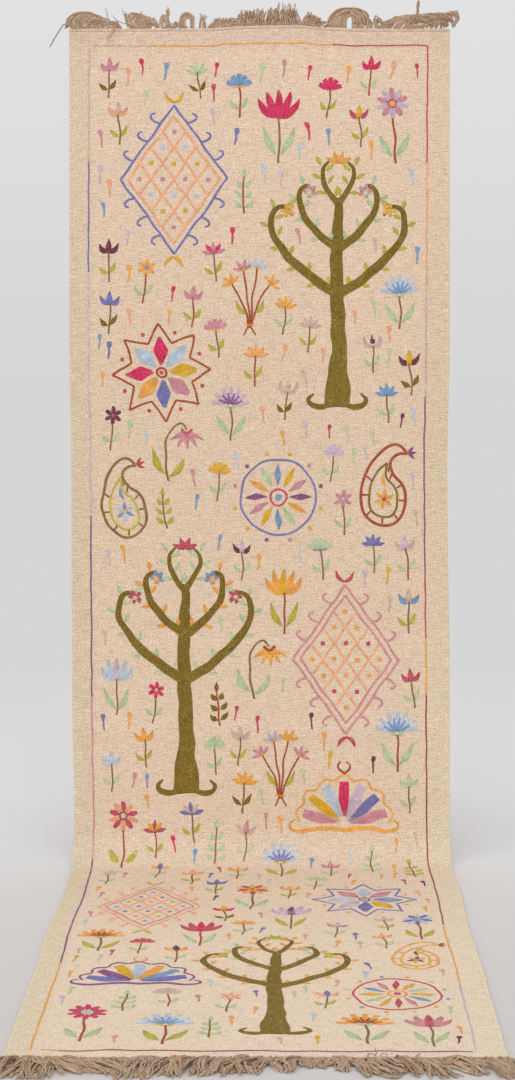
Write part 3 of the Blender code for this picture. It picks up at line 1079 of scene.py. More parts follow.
# The large motifs: which, across, along, turn, size, wools
CANDELABRA_TABLE = (
    (candelabra, 0.165, 0.810, 0, 1.08, ("olive", "moss", "mint", "orange", "pink")),
    (candelabra, -0.160, 1.630, 0, 1.08, ("olive", "mint", "orange", "rose", "sky")),
    (candelabra, 0.030, 2.745, 0, 1.00, ("olive", "orange", "mint", "moss", "orange")),
)
MEDALLION_TABLE = (
    (trellis, -0.180, 0.325, 0, 1.0, ("blue", "peach", "peach", "pink", "ochre", "pale")),
    (star, -0.205, 0.735, 4, 1.0, ("magenta", "pale", "ochre", "pink", "blue", "orange", "rust", "rose")),
    (wheel, 0.040, 1.000, 0, 1.0, ("sky", "ochre", "pink", "violet", "orange", "mint", "blue", "rose")),
    (paisley, 0.255, 1.060, -6, 1.05, ("rust", "olive", "orange", "ochre", "magenta", "violet")),
    (trellis, 0.180, 1.345, 0, 1.0, ("pink", "pink", "peach", "orange", "rose", "orange")),
    (shell, 0.175, 1.700, 0, 1.0, ("pink", "ochre", "pale", "magenta", "lilac", "blue", "orange", "rust")),
    (paisley, -0.280, 1.085, 8, 1.0, ("stem", "moss", "sky", "pale", "orange", "rose")),
    (star, 0.205, 2.020, 0, 1.0, ("pale", "pink", "sky", "ochre", "blue", "lilac", "blue", "orange")),
    (trellis, -0.220, 2.065, 0, 0.90, ("peach", "pink", "peach", "sky", "moss", "blue")),
    (paisley, 0.275, 2.430, -8, 0.92, ("orange", "ochre", "rust", "orange", "sky", "rust")),
    (shell, -0.215, 2.500, 0, 0.98, ("blue", "violet", "ochre", "pale", "orange", "sky", "violet", "orange")),
    (wheel, 0.240, 2.560, 0, 0.94, ("rose", "orange", "mint", "ochre", "sky", "pink", "rose", "orange")),
)
# Single flowers: which, across, along, turn, size, wools
FLOWER_TABLE = (
    (great_tulip, 0.040, 0.290, 0, 0.95, ("stem", "mint", "magenta", "magenta")),
    (rosette, 0.285, 0.290, 3, 1.0, ("rust", "mint", "pink", "lilac", "rose", "ochre")),
    (spray, -0.020, 0.640, 0, 1.0, ("rust", "moss", "orange", "pink", "pale", "ochre")),
    (nodding, -0.265, 0.960, 0, 1.0, ("stem", "moss", "pink", "pink", "rose")),
    (carnation, 0.300, 0.640, 0, 0.80, ("stem", "mint", "pale", "sky")),
    (great_tulip, 0.050, 1.290, 0, 0.85, ("rust", "moss", "orange", "ochre")),
    (carnation, -0.060, 0.880, 0, 0.80, ("stem", "mint", "lilac", "violet")),
    (nodding, 0.010, 1.400, 4, 1.0, ("stem", "mint", "orange", "orange", "rust")),
    (spray, 0.040, 1.640, 0, 1.0, ("rust", "moss", "pink", "lilac", "orange", "ochre")),
    (carnation, 0.300, 1.580, 0, 0.90, ("rust", "mint", "pale", "sky")),
    (great_tulip, -0.300, 1.380, 0, 0.75, ("stem", "mint", "pale", "lilac")),
    (rosette, -0.295, 1.800, 0, 0.95, ("rust", "moss", "rose", "peach", "rust", "pale")),
    (carnation, 0.040, 1.860, 0, 0.90, ("stem", "moss", "pale", "blue")),
    (rosette, -0.020, 2.080, 0, 1.0, ("stem", "mint", "orange", "rose", "ochre", "rust")),
    (great_tulip, 0.060, 2.200, 0, 0.85, ("stem", "moss", "lilac", "violet")),
    (great_tulip, -0.110, 2.300, 0, 0.85, ("rust", "mint", "rose", "magenta")),
    (carnation, -0.290, 2.330, 0, 0.90, ("stem", "moss", "orange", "rust")),
    (rosette, 0.310, 2.260, 0, 0.90, ("rust", "moss", "pale", "blue", "sky", "ochre")),
    (carnation, 0.180, 2.790, 0, 0.95, ("stem", "mint", "orange", "rust")),
    (rosette, -0.285, 2.775, 0, 1.0, ("rust", "mint", "magenta", "rose", "pale", "ochre")),
    (great_tulip, 0.290, 2.780, 0, 0.85, ("stem", "mint", "pink", "rose")),
    (carnation, -0.150, 2.790, 0, 0.95, ("rust", "moss", "pale", "sky")),
)
STEMS = ("rust", "stem", "stem", "olive", "stem")
LEAVES = ("mint", "moss", "mint", "moss", "mint", "olive")
BRIGHTS = ("magenta", "orange", "pink", "ochre", "sky", "lilac", "orange", "rose")
BRIGHTS += ("pale", "blue", "plum", "peach", "pink", "faint", "mint")

# The line of stitches inside the edges: where each chain of stretches starts, then each stretch's
# wool and where it ends
BORDER_TABLE = (
    ((-0.358, 0.037), ("faint", -0.222, 0.038), ("orange", 0.154, 0.037), ("rose", 0.352, 0.037)),
    (
        (0.353, 0.037),
        ("rose", 0.352, 0.289),
        ("peach", 0.351, 0.550),
        ("faint", 0.350, 0.787),
        ("violet", 0.350, 1.160),
        ("rose", 0.350, 1.300),
        ("orange", 0.350, 1.420),
        ("rust", 0.351, 1.906),
        ("stem", 0.352, 2.180),
    ),
    ((0.352, 2.190), ("orange", 0.352, 2.500), ("lilac", 0.352, 2.815)),
    (
        (-0.358, 0.037),
        ("faint", -0.359, 0.289),
        ("blue", -0.359, 0.522),
        ("lilac", -0.358, 1.040),
        ("violet", -0.358, 1.424),
        ("pink", -0.358, 1.770),
        ("violet", -0.358, 2.397),
        ("orange", -0.360, 2.815),
    ),
    ((-0.342, 2.814), ("moss", -0.312, 2.817), ("rust", -0.088, 2.819), ("violet", 0.345, 2.822)),
)
# How often that line swerves, and by how much
WAVER_SPACING = 0.038
WAVER = 0.0007


def wavering(start, end, chance):
    """Places in millimetres on a line that a hand has not held quite straight."""
    steps = max(2, round(math.dist(start, end) / WAVER_SPACING))
    across, up = end[1] - start[1], start[0] - end[0]
    size = math.hypot(across, up)
    points = []
    for i in range(steps + 1):
        share = i / steps
        off = chance.uniform(-WAVER, WAVER) if 0 < i < steps else 0.0
        x = start[0] + (end[0] - start[0]) * share + off * across / size
        along = start[1] + (end[1] - start[1]) * share + off * up / size
        points.append((1000 * x, -1000 * along))
    return points


def border_line():
    chance = random.Random(4)
    bands = []
    for place, *stretches in BORDER_TABLE:
        for _, *end in stretches:
            bands.append(line(len(bands), wavering(place, end, chance), 1.5))
            place = end
    return bands


# ---------------------------------------------------------------- yarns


def smooth_run(points, count, furthest=1.0):
    """Points on a smooth curve through these points, as far as a share of its length."""
    points = np.asarray(points, float)
    ends = np.vstack((2 * points[0] - points[1], points, 2 * points[-1] - points[-2]))
    places = np.linspace(0, (len(points) - 1) * furthest, count)
    first = np.minimum(places.astype(int), len(points) - 2)
    t = (places - first)[:, None]
    a, b, c, d = (ends[first + i] for i in range(4))
    return 0.5 * (2 * b + (c - a) * t + (2 * a - 5 * b + 4 * c - d) * t**2 + (3 * b - a - 3 * c + d) * t**3)


def tone(share, light=1.0):
    """A colour between the warp yarn and its darkest hairs, whose dark end also serves as painted shade."""
    return (np.array(wool("warp")) * (1 - share) + np.array(wool("warp_dark")) * share) * light


# Corners round a yarn
YARN_CORNERS = 6


def yarn_piece(name, yarns):
    """One mesh of round yarns, each given as (shade, thickness share at each point, points)."""
    let_go()
    bpy.ops.curve.primitive_nurbs_path_add()
    piece = bpy.context.active_object
    piece.name = name
    curve = piece.data
    curve.splines.clear()
    curve.bevel_depth = sizes().yarn / 2
    curve.bevel_resolution = (YARN_CORNERS - 4) // 2
    curve.use_fill_caps = True
    for _, thickness, points in yarns:
        spline = curve.splines.new("POLY")
        spline.points.add(len(points) - 1)
        spline.points.foreach_set("co", np.column_stack((points, np.ones(len(points)))).ravel())
        spline.points.foreach_set("radius", thickness)
    bpy.ops.object.convert(target="MESH")
    mesh = piece.data
    mesh.name = name
    mesh.uv_layers[0].name = "yarn"
    # Both caps have corners of their own
    counts = [YARN_CORNERS * (len(points) + 2) for _, _, points in yarns]
    shades = np.repeat([(*shade, 1.0) for shade, _, _ in yarns], counts, axis=0)
    mesh.color_attributes.new("wool", "FLOAT_COLOR", "POINT").data.foreach_set("color", shades.ravel())
    edit(piece, lambda: bpy.ops.mesh.remove_doubles(threshold=0.000001), face_out)
    finish(piece, once(plied_wool))
    return piece


def thinning(count, tip=0.6, start=1.0):
    share = np.linspace(0, 1, count)
    return start * (1 - (1 - tip) * share**3)


# The twined row: its points and turns, how far its two yarns swing through the cloth and along it,
# how far it ends from each selvedge, and its thickness and least height in warp ends
TWINE_POINTS = 620
TWINE_TURNS = 118
TWINE_THROUGH = 0.0018
TWINE_ALONG = 0.0007
TWINE_INSET = 0.001
TWINE_THICKNESS = 0.66
TWINE_LOWEST = 0.35


def twined_row(along):
    """Two pale yarns twined through the cloth's end from side to side."""
    s = sizes()
    reach = s.width / 2 - TWINE_INSET
    centre = middle(np.linspace(-reach, reach, TWINE_POINTS), np.full(TWINE_POINTS, along))
    turns = np.linspace(0, 2 * math.pi * TWINE_TURNS, TWINE_POINTS)
    through, level = (1, 2) if along < s.hang_height else (2, 1)
    rows = []
    for phase, shade in ((0, linear(240, 222, 190)), (math.pi, linear(236, 208, 172))):
        run = centre.copy()
        run[:, through] += TWINE_THROUGH * np.cos(turns + phase)
        run[:, level] += TWINE_ALONG * np.sin(turns + phase)
        run[:, 2] = np.maximum(run[:, 2], TWINE_LOWEST * s.yarn - s.hang_height)
        rows.append((shade, np.full(TWINE_POINTS, TWINE_THICKNESS), run))
    return rows


# Warp ends on the top edge: yarns, turns of twist, depth, and the paths of the first and last as
# (across, height) in millimetres, where the height is above a level this far below the edge's middle
BELOW_TOP = 7
TOP_TABLE = (
    (44, 0, 5, ((-398, 2), (-410, 16), (-397, 31), (-370, 37), (-351, 31), (-338, 24)),
     ((-330, 2), (-332, 7), (-319, 11), (-305, 8), (-293, 3), (-289, 2))),
    (6, 0, 3, ((-392, 2), (-398, 6), (-407, 4), (-411, -2)),
     ((-386, 2), (-395, 12), (-408, 10), (-413, 3))),
    (16, 0, 4, ((-330, 2), (-335, 12), (-330, 22), (-318, 20)),
     ((-290, 2), (-296, 8), (-306, 14), (-315, 12))),
    (12, 0, 3, ((-276, 1), (-282, 14), (-285, 26), (-287, 35)),
     ((-268, 1), (-274, 14), (-278, 26), (-280, 34))),
    (30, 0, 4, ((-271, 1), (-281, 17), (-274, 32), (-256, 31), (-242, 16), (-237, 2)),
     ((-229, 1), (-232, 11), (-229, 21), (-221, 19), (-215, 9), (-212, 2))),
    (14, 0, 4, ((-262, 2), (-266, 14), (-268, 26), (-262, 34)),
     ((-240, 2), (-244, 12), (-250, 24), (-252, 31))),
    (2, 0, 3, ((-262, 10), (-260, 24), (-257, 36), (-255, 43)),
     ((-254, 10), (-252, 22), (-249, 32), (-247, 39))),
    (8, 0.6, 2, ((-198, 2), (-200, 14), (-196, 28), (-195, 37), (-196, 45)),
     ((-189, 2), (-190, 14), (-194, 28), (-194, 36), (-191, 44))),
    (10, 0, 3, ((-206, 2), (-211, 14), (-207, 28), (-200, 29), (-194, 16), (-191, 3)),
     ((-200, 2), (-205, 10), (-203, 20), (-199, 20), (-195, 10), (-193, 3))),
    (8, 1.0, 3, ((-190, 2), (-186, 9), (-180, 11), (-174, 8)),
     ((-180, 2), (-176, 7), (-172, 9), (-168, 5))),
    (22, 0, 4, ((-168, 1), (-170, 18), (-163, 31), (-152, 35), (-142, 27), (-141, 11)),
     ((-152, 1), (-158, 14), (-156, 22), (-151, 24), (-145, 18), (-143, 6))),
    (12, 0, 4, ((-147, 1), (-147, 14), (-148, 24), (-150, 31)),
     ((-139, 1), (-139, 14), (-141, 24), (-146, 31))),
    (7, 0, 5, ((-128, 2), (-127, 16), (-124, 26), (-125, 34)),
     ((-110, 2), (-112, 12), (-113, 20), (-106, 27))),
    (34, 0, 5, ((-111, 2), (-106, 8), (-100, 16), (-95, 22)),
     ((-50, 6), (-47, 12), (-44, 20), (-42, 26))),
    (18, 0, 4, ((-110, 2), (-96, 6), (-80, 8), (-66, 9)),
     ((-76, 3), (-66, 7), (-54, 10), (-43, 12))),
    (46, 0.7, 5, ((-48, 7), (-47, 18), (-44, 28), (-45, 38)),
     ((14, 9), (12, 20), (13, 30), (11, 39))),
    (60, 0.7, 5, ((14, 9), (15, 22), (18, 32), (16, 41)),
     ((88, 8), (86, 18), (80, 30), (82, 41))),
    (9, 0, 4, ((30, 20), (34, 34), (38, 46), (40, 55)),
     ((76, 20), (74, 34), (78, 46), (80, 57))),
    (24, 0.5, 4, ((88, 8), (94, 20), (100, 29), (104, 34)),
     ((116, 6), (120, 12), (126, 18), (133, 20))),
    (12, 0.6, 4, ((100, 6), (108, 14), (120, 18), (130, 12)),
     ((126, 5), (132, 9), (139, 12), (146, 6))),
    (34, 0, 5, ((140, 4), (147, 24), (166, 40), (200, 45), (226, 34), (239, 4)),
     ((184, 1), (186, 21), (196, 29), (203, 26), (203, 14), (201, 3))),
    (24, 0, 4, ((196, 1), (196, 18), (194, 32), (186, 42)),
     ((222, 1), (217, 20), (210, 34), (202, 46))),
    (16, 0, 4, ((226, 1), (228, 14), (224, 26), (216, 36)),
     ((240, 1), (237, 12), (232, 24), (226, 34))),
    (8, 0.8, 3, ((246, 3), (243, 16), (248, 26), (256, 17), (270, 13), (284, 15)),
     ((256, 3), (252, 12), (256, 18), (262, 11), (274, 9), (286, 11))),
    (20, 4.0, 4, ((246, 4), (282, 24), (321, 28), (361, 29), (401, 33), (418, 35), (422, 22), (412, 6)),
     ((300, 4), (310, 20), (330, 25), (365, 27), (398, 30), (414, 31), (417, 20), (406, 2))),
    (16, 3.0, 4, ((284, 6), (303, 19), (335, 19), (372, 23), (402, 26), (412, 14)),
     ((330, 4), (338, 14), (352, 16), (378, 19), (398, 21), (406, 10))),
    (14, 3.0, 4, ((300, 7), (321, 5), (348, 7), (372, 12), (388, 11), (401, 5)),
     ((350, 3), (358, 8), (368, 10), (382, 14), (392, 14), (404, 9))),
    (12, 2.0, 4, ((352, 5), (362, 16), (380, 25), (398, 28), (410, 20)),
     ((392, 3), (396, 14), (402, 22), (409, 22), (412, 10))),
    (9, 1.6, 2, ((318, 12), (328, 27), (334, 38), (336, 50), (336, 60)),
     ((350, 12), (343, 26), (338, 38), (337, 50), (338, 57))),
)
# Pale selvedge yarns among them: thickness in warp ends, and path
PALE_TABLE = (
    (1.1, ((-400, 4), (-409, 10), (-417, 7), (-425, -5), (-435, -21), (-441, -32), (-445, -39))),
    (0.8, ((-392, 2), (-389, 18), (-384, 17), (-378, 4))),
    (0.7, ((-298, 4), (-306, 12), (-319, 18), (-323, 32), (-327, 44))),
    (0.6, ((-280, 2), (-284, 18), (-288, 32), (-292, 43))),
    (0.7, ((-268, 6), (-300, 16), (-308, 24), (-314, 30))),
)
# One end that has fallen over the edge onto the cloth
STRAY_ON_CLOTH = ((-299, 10), (-303, 14), (-309, -3), (-319, -17), (-325, -24))


# Points along a warp end, and their shares of its length
YARN_POINTS = 12
ALONG_YARN = np.linspace(0, 1, YARN_POINTS)
# How unevenly the top ends stand, as (mean, spread) in millimetres across and up, the height below
# which one starts on the edge itself, and the places round a twisted lock and its radius
TOP_SCATTER = ((0, 1.7), (0, 1.7))
ROOT_BELOW = 10
LOCK_PLACES = 4
LOCK_RADIUS = 0.0046


def rank(chance, i, count):
    """Where a yarn comes in its bunch, from 0 to 1, a little out of turn."""
    return np.clip((i + chance.uniform(-0.3, 1.3)) / count, 0, 1)


def scatter(chance, ways, count):
    """Uneven shifts for this many points, with a (mean, spread) for each direction."""
    return np.array([[chance.gauss(*way) for way in ways] for _ in range(count)])


def crimp(chance, fewest, most):
    """Waves along a warp end, between the fewest and the most."""
    return np.sin(2 * math.pi * (ALONG_YARN * chance.uniform(fewest, most) + chance.random()))


def edge_height(x):
    """Height of the top edge at this X, where the cloth is 1 per cent wider than its flat width."""
    return middle(np.array([x * 0.99]), np.array([0.0]))[0, 2]


def top_yarns(chance):
    """The warp ends on the top edge in their bunches, with the strays among them."""
    yarns = []
    for count, turns, depth, first, last in TOP_TABLE:
        for i in range(count):
            share = rank(chance, i, count)
            flat = np.array(first) * (1 - share) + np.array(last) * share
            grow = np.linspace(0, 1, len(flat))[:, None] ** 0.7
            flat = flat + grow * scatter(chance, TOP_SCATTER, len(flat))
            points = np.column_stack((flat[:, 0], np.zeros(len(flat)), flat[:, 1] - BELOW_TOP)) / 1000
            points[:, 1] += grow[:, 0] * chance.uniform(-depth, depth) / 1000
            if flat[0, 1] < ROOT_BELOW:
                points[0, 2] = edge_height(points[0, 0]) + 0.001
            run = smooth_run(points, YARN_POINTS, chance.uniform(0.82, 1.0))
            if turns:
                angle = 2 * math.pi * (turns * ALONG_YARN + i / min(count, LOCK_PLACES))
                run[:, 1] += LOCK_RADIUS * ALONG_YARN**0.5 * np.cos(angle)
                run[:, 2] += LOCK_RADIUS * ALONG_YARN**0.5 * np.sin(angle)
            run[:, 0] += chance.uniform(0.0002, 0.0008) * crimp(chance, 3, 5) * ALONG_YARN**0.4
            # Painted shade: a yarn that stands behind the edge is darker
            back = run[YARN_POINTS // 2, 1] > 0.001
            shade = tone(0.6 * chance.random() ** 2 + 0.2 * back, chance.uniform(0.92, 1.06))
            yarns.append((shade, thinning(YARN_POINTS, 0.85, chance.uniform(0.9, 1.2)), run))
    for thickness, path in PALE_TABLE:
        points = [(x / 1000, -0.003, (z - BELOW_TOP) / 1000) for x, z in path]
        yarns.append((linear(214, 198, 168), thinning(24, 0.8, thickness), smooth_run(points, 24)))
    points = [
        (x / 1000, -0.004 - 0.001 * i, (z - BELOW_TOP) / 1000) for i, (x, z) in enumerate(STRAY_ON_CLOTH)
    ]
    yarns.append((tone(0.4), thinning(20), smooth_run(points, 20)))
    return yarns


# Warp ends on the floor: yarns, height of the pile, and the paths of the first and last as (across,
# reach beyond the cloth) in millimetres
FRONT_TABLE = (
    (46, 13, ((-402, 0), (-410, 18), (-407, 45), (-402, 73)),
     ((-346, 0), (-352, 18), (-366, 48), (-384, 77))),
    (38, 12, ((-372, 0), (-372, 22), (-374, 48), (-366, 76)),
     ((-309, 0), (-322, 22), (-332, 48), (-334, 76))),
    (26, 12, ((-352, 2), (-344, 14), (-318, 28), (-290, 40)),
     ((-322, 0), (-312, 10), (-290, 22), (-262, 36))),
    (30, 11, ((-336, 4), (-314, 28), (-288, 50), (-262, 55)),
     ((-300, 0), (-284, 12), (-262, 30), (-238, 46))),
    (40, 11, ((-300, 0), (-276, 18), (-244, 36), (-212, 60)),
     ((-250, 0), (-238, 14), (-224, 32), (-206, 56))),
    (40, 12, ((-204, 0), (-206, 22), (-208, 50), (-211, 77)),
     ((-150, 0), (-162, 22), (-172, 48), (-178, 74))),
    (38, 13, ((-160, 0), (-170, 24), (-168, 48), (-166, 70)),
     ((-112, 0), (-128, 24), (-136, 46), (-144, 66))),
    (36, 13, ((-128, 0), (-132, 28), (-136, 46), (-138, 66)),
     ((-84, 0), (-100, 28), (-106, 46), (-110, 66))),
    (40, 13, ((-96, 0), (-100, 24), (-98, 44), (-92, 60)),
     ((-30, 0), (-52, 22), (-68, 42), (-80, 60))),
    (40, 13, ((-48, 0), (-46, 22), (-38, 40), (-28, 56)),
     ((20, 0), (2, 22), (-10, 40), (-20, 58))),
    (36, 10, ((8, 0), (20, 16), (28, 30), (34, 46)),
     ((62, 0), (64, 18), (64, 34), (60, 52))),
    (28, 9, ((52, 0), (62, 12), (70, 22), (74, 34)),
     ((98, 0), (96, 12), (92, 20), (88, 26))),
    (24, 8, ((88, 0), (94, 8), (100, 14), (106, 18)),
     ((128, 0), (122, 10), (116, 16), (112, 20))),
    (20, 10, ((114, 0), (118, 16), (122, 32), (124, 44)),
     ((140, 0), (136, 14), (132, 30), (128, 46))),
    (30, 10, ((126, 0), (138, 16), (150, 32), (160, 50)),
     ((160, 0), (164, 18), (168, 34), (168, 52))),
    (36, 11, ((162, 0), (172, 34), (190, 62), (206, 68), (220, 44)),
     ((190, 0), (194, 22), (200, 42), (208, 44), (216, 26))),
    (14, 10, ((196, 0), (204, 16), (212, 30), (220, 44)),
     ((222, 0), (224, 12), (222, 24), (224, 38))),
    (34, 11, ((214, 0), (226, 24), (238, 46), (248, 64)),
     ((252, 0), (256, 20), (258, 38), (260, 56))),
    (34, 11, ((246, 0), (262, 26), (278, 50), (294, 76)),
     ((286, 0), (290, 22), (294, 44), (298, 66))),
    (36, 12, ((280, 0), (300, 26), (318, 44), (332, 60)),
     ((334, 0), (342, 22), (350, 42), (356, 60))),
    (46, 12, ((324, 0), (348, 28), (370, 52), (390, 76)),
     ((392, 0), (398, 22), (400, 42), (400, 64))),
)
# Short tufts tangled all along the cloth's end
TANGLE_TABLE = tuple(
    (10, 11, ((x, 0), (x - 14, 10), (x - 34, 19)), ((x + 25, 0), (x + 39, 11), (x + 57, 22)))
    for x in range(-400, 380, 25)
)
# Single ends that have strayed onto the cloth
LOOSE_TABLE = (
    ((176, 8), (170, -6), (172, -20), (180, -14), (184, 2)),
    ((186, 10), (182, -8), (184, -26), (183, -40)),
    ((196, 8), (190, -12), (198, -20), (201, -4)),
    ((246, 12), (245, -4), (249, -14), (254, -20)),
    ((-46, 4), (-38, -10), (-24, -14), (-10, 2)),
    ((300, 6), (306, -8), (316, -8), (318, 4)),
    ((-398, 10), (-414, 12), (-424, 22), (-432, 18)),
    ((-396, 4), (-410, -2), (-420, 2), (-428, 8)),
)


# Yarns in a lying lock, how it leans and how its yarns part, as (mean, spread) in millimetres across
# and out, the pile's height along a yarn as (share of length, share of height), and how far it strays
LOCK_SIZE = 5
LOCK_LEAN = ((-2, 15), (-1, 4))
LOCK_SCATTER = ((0, 3.5), (0, 2.5))
PILE_SHAPE = ((0, 0.22, 0.6, 1), (0, 0.5, 1.0, 0.12))
FRONT_ACROSS = (-0.440, 0.411)
FRONT_REACH = 1.186


def front_yarns(chance):
    """The lying warp ends, gathered in locks that cross each other."""
    s = sizes()
    floor = -s.hang_height
    edge = middle(np.linspace(-0.4, 0.4, 81), np.full(81, lengths()[2]))[:, :2].T
    yarns = []
    for count, pile, first, last in (*FRONT_TABLE, *TANGLE_TABLE):
        first, last = np.array(first, float), np.array(last, float)
        grow = np.linspace(0, 1, len(first))[:, None]
        for i in range(count):
            if i % LOCK_SIZE == 0:
                height = chance.random()
                lean = scatter(chance, LOCK_LEAN, 1)
                centre = min(1, (i + LOCK_SIZE / 2) / count)
            layer = np.clip(height + chance.uniform(-0.22, 0.22), 0, 1)
            share = rank(chance, i, count)
            share = share + (centre - share) * 0.5 * grow
            flat = first * (1 - share) + last * share
            flat = flat + grow**0.7 * (lean + scatter(chance, LOCK_SCATTER, len(flat)))
            hump = (flat[0] + (chance.uniform(-5, 5), 4 - 7 * layer))[None]
            x, reach = np.vstack((flat[:1], hump, flat[1:])).T / 1000
            rise = np.interp(np.linspace(0, 1, len(x)), *PILE_SHAPE)
            points = np.column_stack((x, np.interp(x, *edge) - reach, floor + rise * layer * pile / 1000))
            points[0, 2] = floor + s.thickness / 2
            points[1, 2] = max(points[1, 2], floor + s.thickness + 0.002 * layer)
            run = smooth_run(points, YARN_POINTS, chance.uniform(0.84, 1.0))
            waves = crimp(chance, 1.5, 3.5)
            run[:, 0] += chance.uniform(0.0004, 0.0026) * waves * ALONG_YARN**0.4
            run[:, 2] += chance.uniform(0.0, 0.0020) * np.roll(waves, 3) * ALONG_YARN**0.4
            run[:, 0] = np.clip(run[:, 0], *FRONT_ACROSS)
            run[:, 1] = np.maximum(run[:, 1], -FRONT_REACH)
            run[:, 2] = np.maximum(run[:, 2], floor + 0.56 * s.yarn)
            # Painted shade: yarns low in the pile are darker, as if shaded by those above them, plus a random
            # difference of tone
            painted_shade_and_tone = np.clip(0.7 - 1.6 * layer, 0, 0.85) + 0.15 * chance.random()
            shade = tone(painted_shade_and_tone, chance.uniform(0.98, 1.12))
            yarns.append((shade, thinning(YARN_POINTS, 0.75, chance.uniform(0.85, 1.1)), run))
    rest = floor + s.thickness + s.yarn / 2 + 0.0006
    for path in LOOSE_TABLE:
        x, reach = np.array(path).T / 1000
        points = np.column_stack((x, np.interp(x, *edge) - reach, np.full(len(x), rest)))
        yarns.append((tone(0.25), thinning(18, 0.6, 0.75), smooth_run(points, 18)))
    return yarns


# ---------------------------------------------------------------- operators

CAMERA_PLACE = (-0.0042, -4.244, -0.578)
CAMERA_LENS, CAMERA_SENSOR, CAMERA_SHIFT = 66.67, 36, -0.224
# Degrees that the sun is turned by, and the width in degrees and the strength of its light
SUN_TURN = (52, 0, -12)
SUN_WIDTH, SUN_STRENGTH = 85, 1.30
# The selvedge cord: where it is cut, as shares of its width, and its greatest and least height, as
# shares of the cloth's thickness
CORD_CUTS = (0.2, 0.5, 0.8, 1.0)
CORD_HEIGHT, CORD_EDGE = 1.4, 0.15
# Where sprigs are wanted, as (start, end, spacing) along and across, and how far each may be moved
SPRIG_GRIDS = (
    ((0.15, 2.8, 0.098), (-0.32, 0.34, 0.092), 0.020),
    ((0.18, 2.8, 0.060), (-0.30, 0.34, 0.070), 0.030),
)
# How far every second column is moved along, and the kinds, one of them in several places so that
# it comes up more often
SPRIG_DROP = 0.045
SPRIG_KINDS = (tulip, tulip, bell, tulip, cupped, fan, starlet, leafy, tulip)


class KILIM_OT_studio(bpy.types.Operator):
    """Sets up the camera, the pale floor and the soft lights"""

    bl_idname = "kilim.studio"
    bl_label = "Studio"

    def execute(self, context):
        s = sizes()
        let_go()
        bpy.ops.object.camera_add(location=CAMERA_PLACE, rotation=(math.pi / 2, 0, 0))
        camera = context.active_object
        camera.data.lens = CAMERA_LENS
        camera.data.sensor_width = CAMERA_SENSOR
        camera.data.shift_y = CAMERA_SHIFT
        context.scene.camera = camera
        bpy.ops.mesh.primitive_plane_add(size=16, location=(0, 0, -s.hang_height - 0.0005))
        floor = context.active_object
        floor.name = "floor"
        floor.data.materials.append(studio_floor())
        turn = [math.radians(angle) for angle in SUN_TURN]
        bpy.ops.object.light_add(type="SUN", location=(-1, -3, 3), rotation=turn)
        softbox = context.active_object
        softbox.name = "softbox"
        softbox.data.energy = SUN_STRENGTH
        softbox.data.angle = math.radians(SUN_WIDTH)
        context.scene.world = studio_world()
        context.scene.view_settings.view_transform = "Standard"
        return {"FINISHED"}


class KILIM_OT_cloth(bpy.types.Operator):
    """Weaves the ground cloth and hangs it"""

    bl_idname = "kilim.cloth"
    bl_label = "Woven ground"

    def execute(self, context):
        s = sizes()
        _, _, end = lengths()
        let_go()
        columns, rows = round(s.width / s.grid), round(end / s.grid)
        bpy.ops.mesh.primitive_grid_add(
            x_subdivisions=columns, y_subdivisions=rows, size=1, location=(0, -end / 2, 0)
        )
        cloth = context.active_object
        cloth.scale = (s.width, end, 1)
        bpy.ops.object.transform_apply(location=True, rotation=True, scale=True)
        for side in (-1, 1):
            for share in CORD_CUTS:
                cut_at(cloth, side * (s.width / 2 - share * s.selvedge))
        apply_modifier(cloth, "SOLIDIFY", thickness=s.thickness, offset=0.0)
        edit(cloth, face_out)
        mesh = cloth.data
        flat = corners_of(mesh)
        inset = (s.width / 2 - np.abs(flat[:, 0])) / s.selvedge
        bead = CORD_HEIGHT * np.sqrt(np.clip(1 - (2 * np.clip(inset, 0, 1) - 1) ** 2, 0, 1))
        least = np.where(inset > 0.75, 1.0, CORD_EDGE)
        flat[:, 2] *= np.where(inset < 0.999, np.maximum(bead, least), 1.0)
        corners = gathered(mesh.loops, "vertex_index")
        mesh.uv_layers.active.name = "flat"
        mesh.uv_layers["flat"].data.foreach_set("uv", (flat[corners, :2] * (1, -1)).ravel())
        mesh.vertices.foreach_set("co", flat.ravel())
        drape(cloth)
        cloth.name = mesh.name = "kilim_cloth"
        finish(cloth, once(woven_wool))
        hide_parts("kilim_body")
        return {"FINISHED"}


class KILIM_OT_border_line(bpy.types.Operator):
    """Stitches the line that runs inside the four edges"""

    bl_idname = "kilim.border_line"
    bl_label = "Border line"

    def execute(self, context):
        wools = [name for _, *stretches in BORDER_TABLE for name, _, _ in stretches]
        sew_on("border_line", [(border_line, 0, 0, 0, 1, wools)], wander=0.0003)
        return {"FINISHED"}


class KILIM_OT_large_motifs(bpy.types.Operator):
    """Stitches the candelabra plants, medallions, lattices and drops"""

    bl_idname = "kilim.large_motifs"
    bl_label = "Large motifs"

    def execute(self, context):
        for name, rows in (("candelabras", CANDELABRA_TABLE), ("medallions", MEDALLION_TABLE)):
            for row in rows:
                take(footprint(*row[:5]), solid=name == "medallions")
            sew_on(name, rows)
        return {"FINISHED"}


class KILIM_OT_flowers(bpy.types.Operator):
    """Stitches the single flowers"""

    bl_idname = "kilim.flowers"
    bl_label = "Flowers"

    def execute(self, context):
        rows = []
        for *row, colours in FLOWER_TABLE:
            place = settle(*row, clearance=2, furthest=0.12)
            if place:
                rows.append((*place, colours))
        sew_on("flowers", rows)
        return {"FINISHED"}


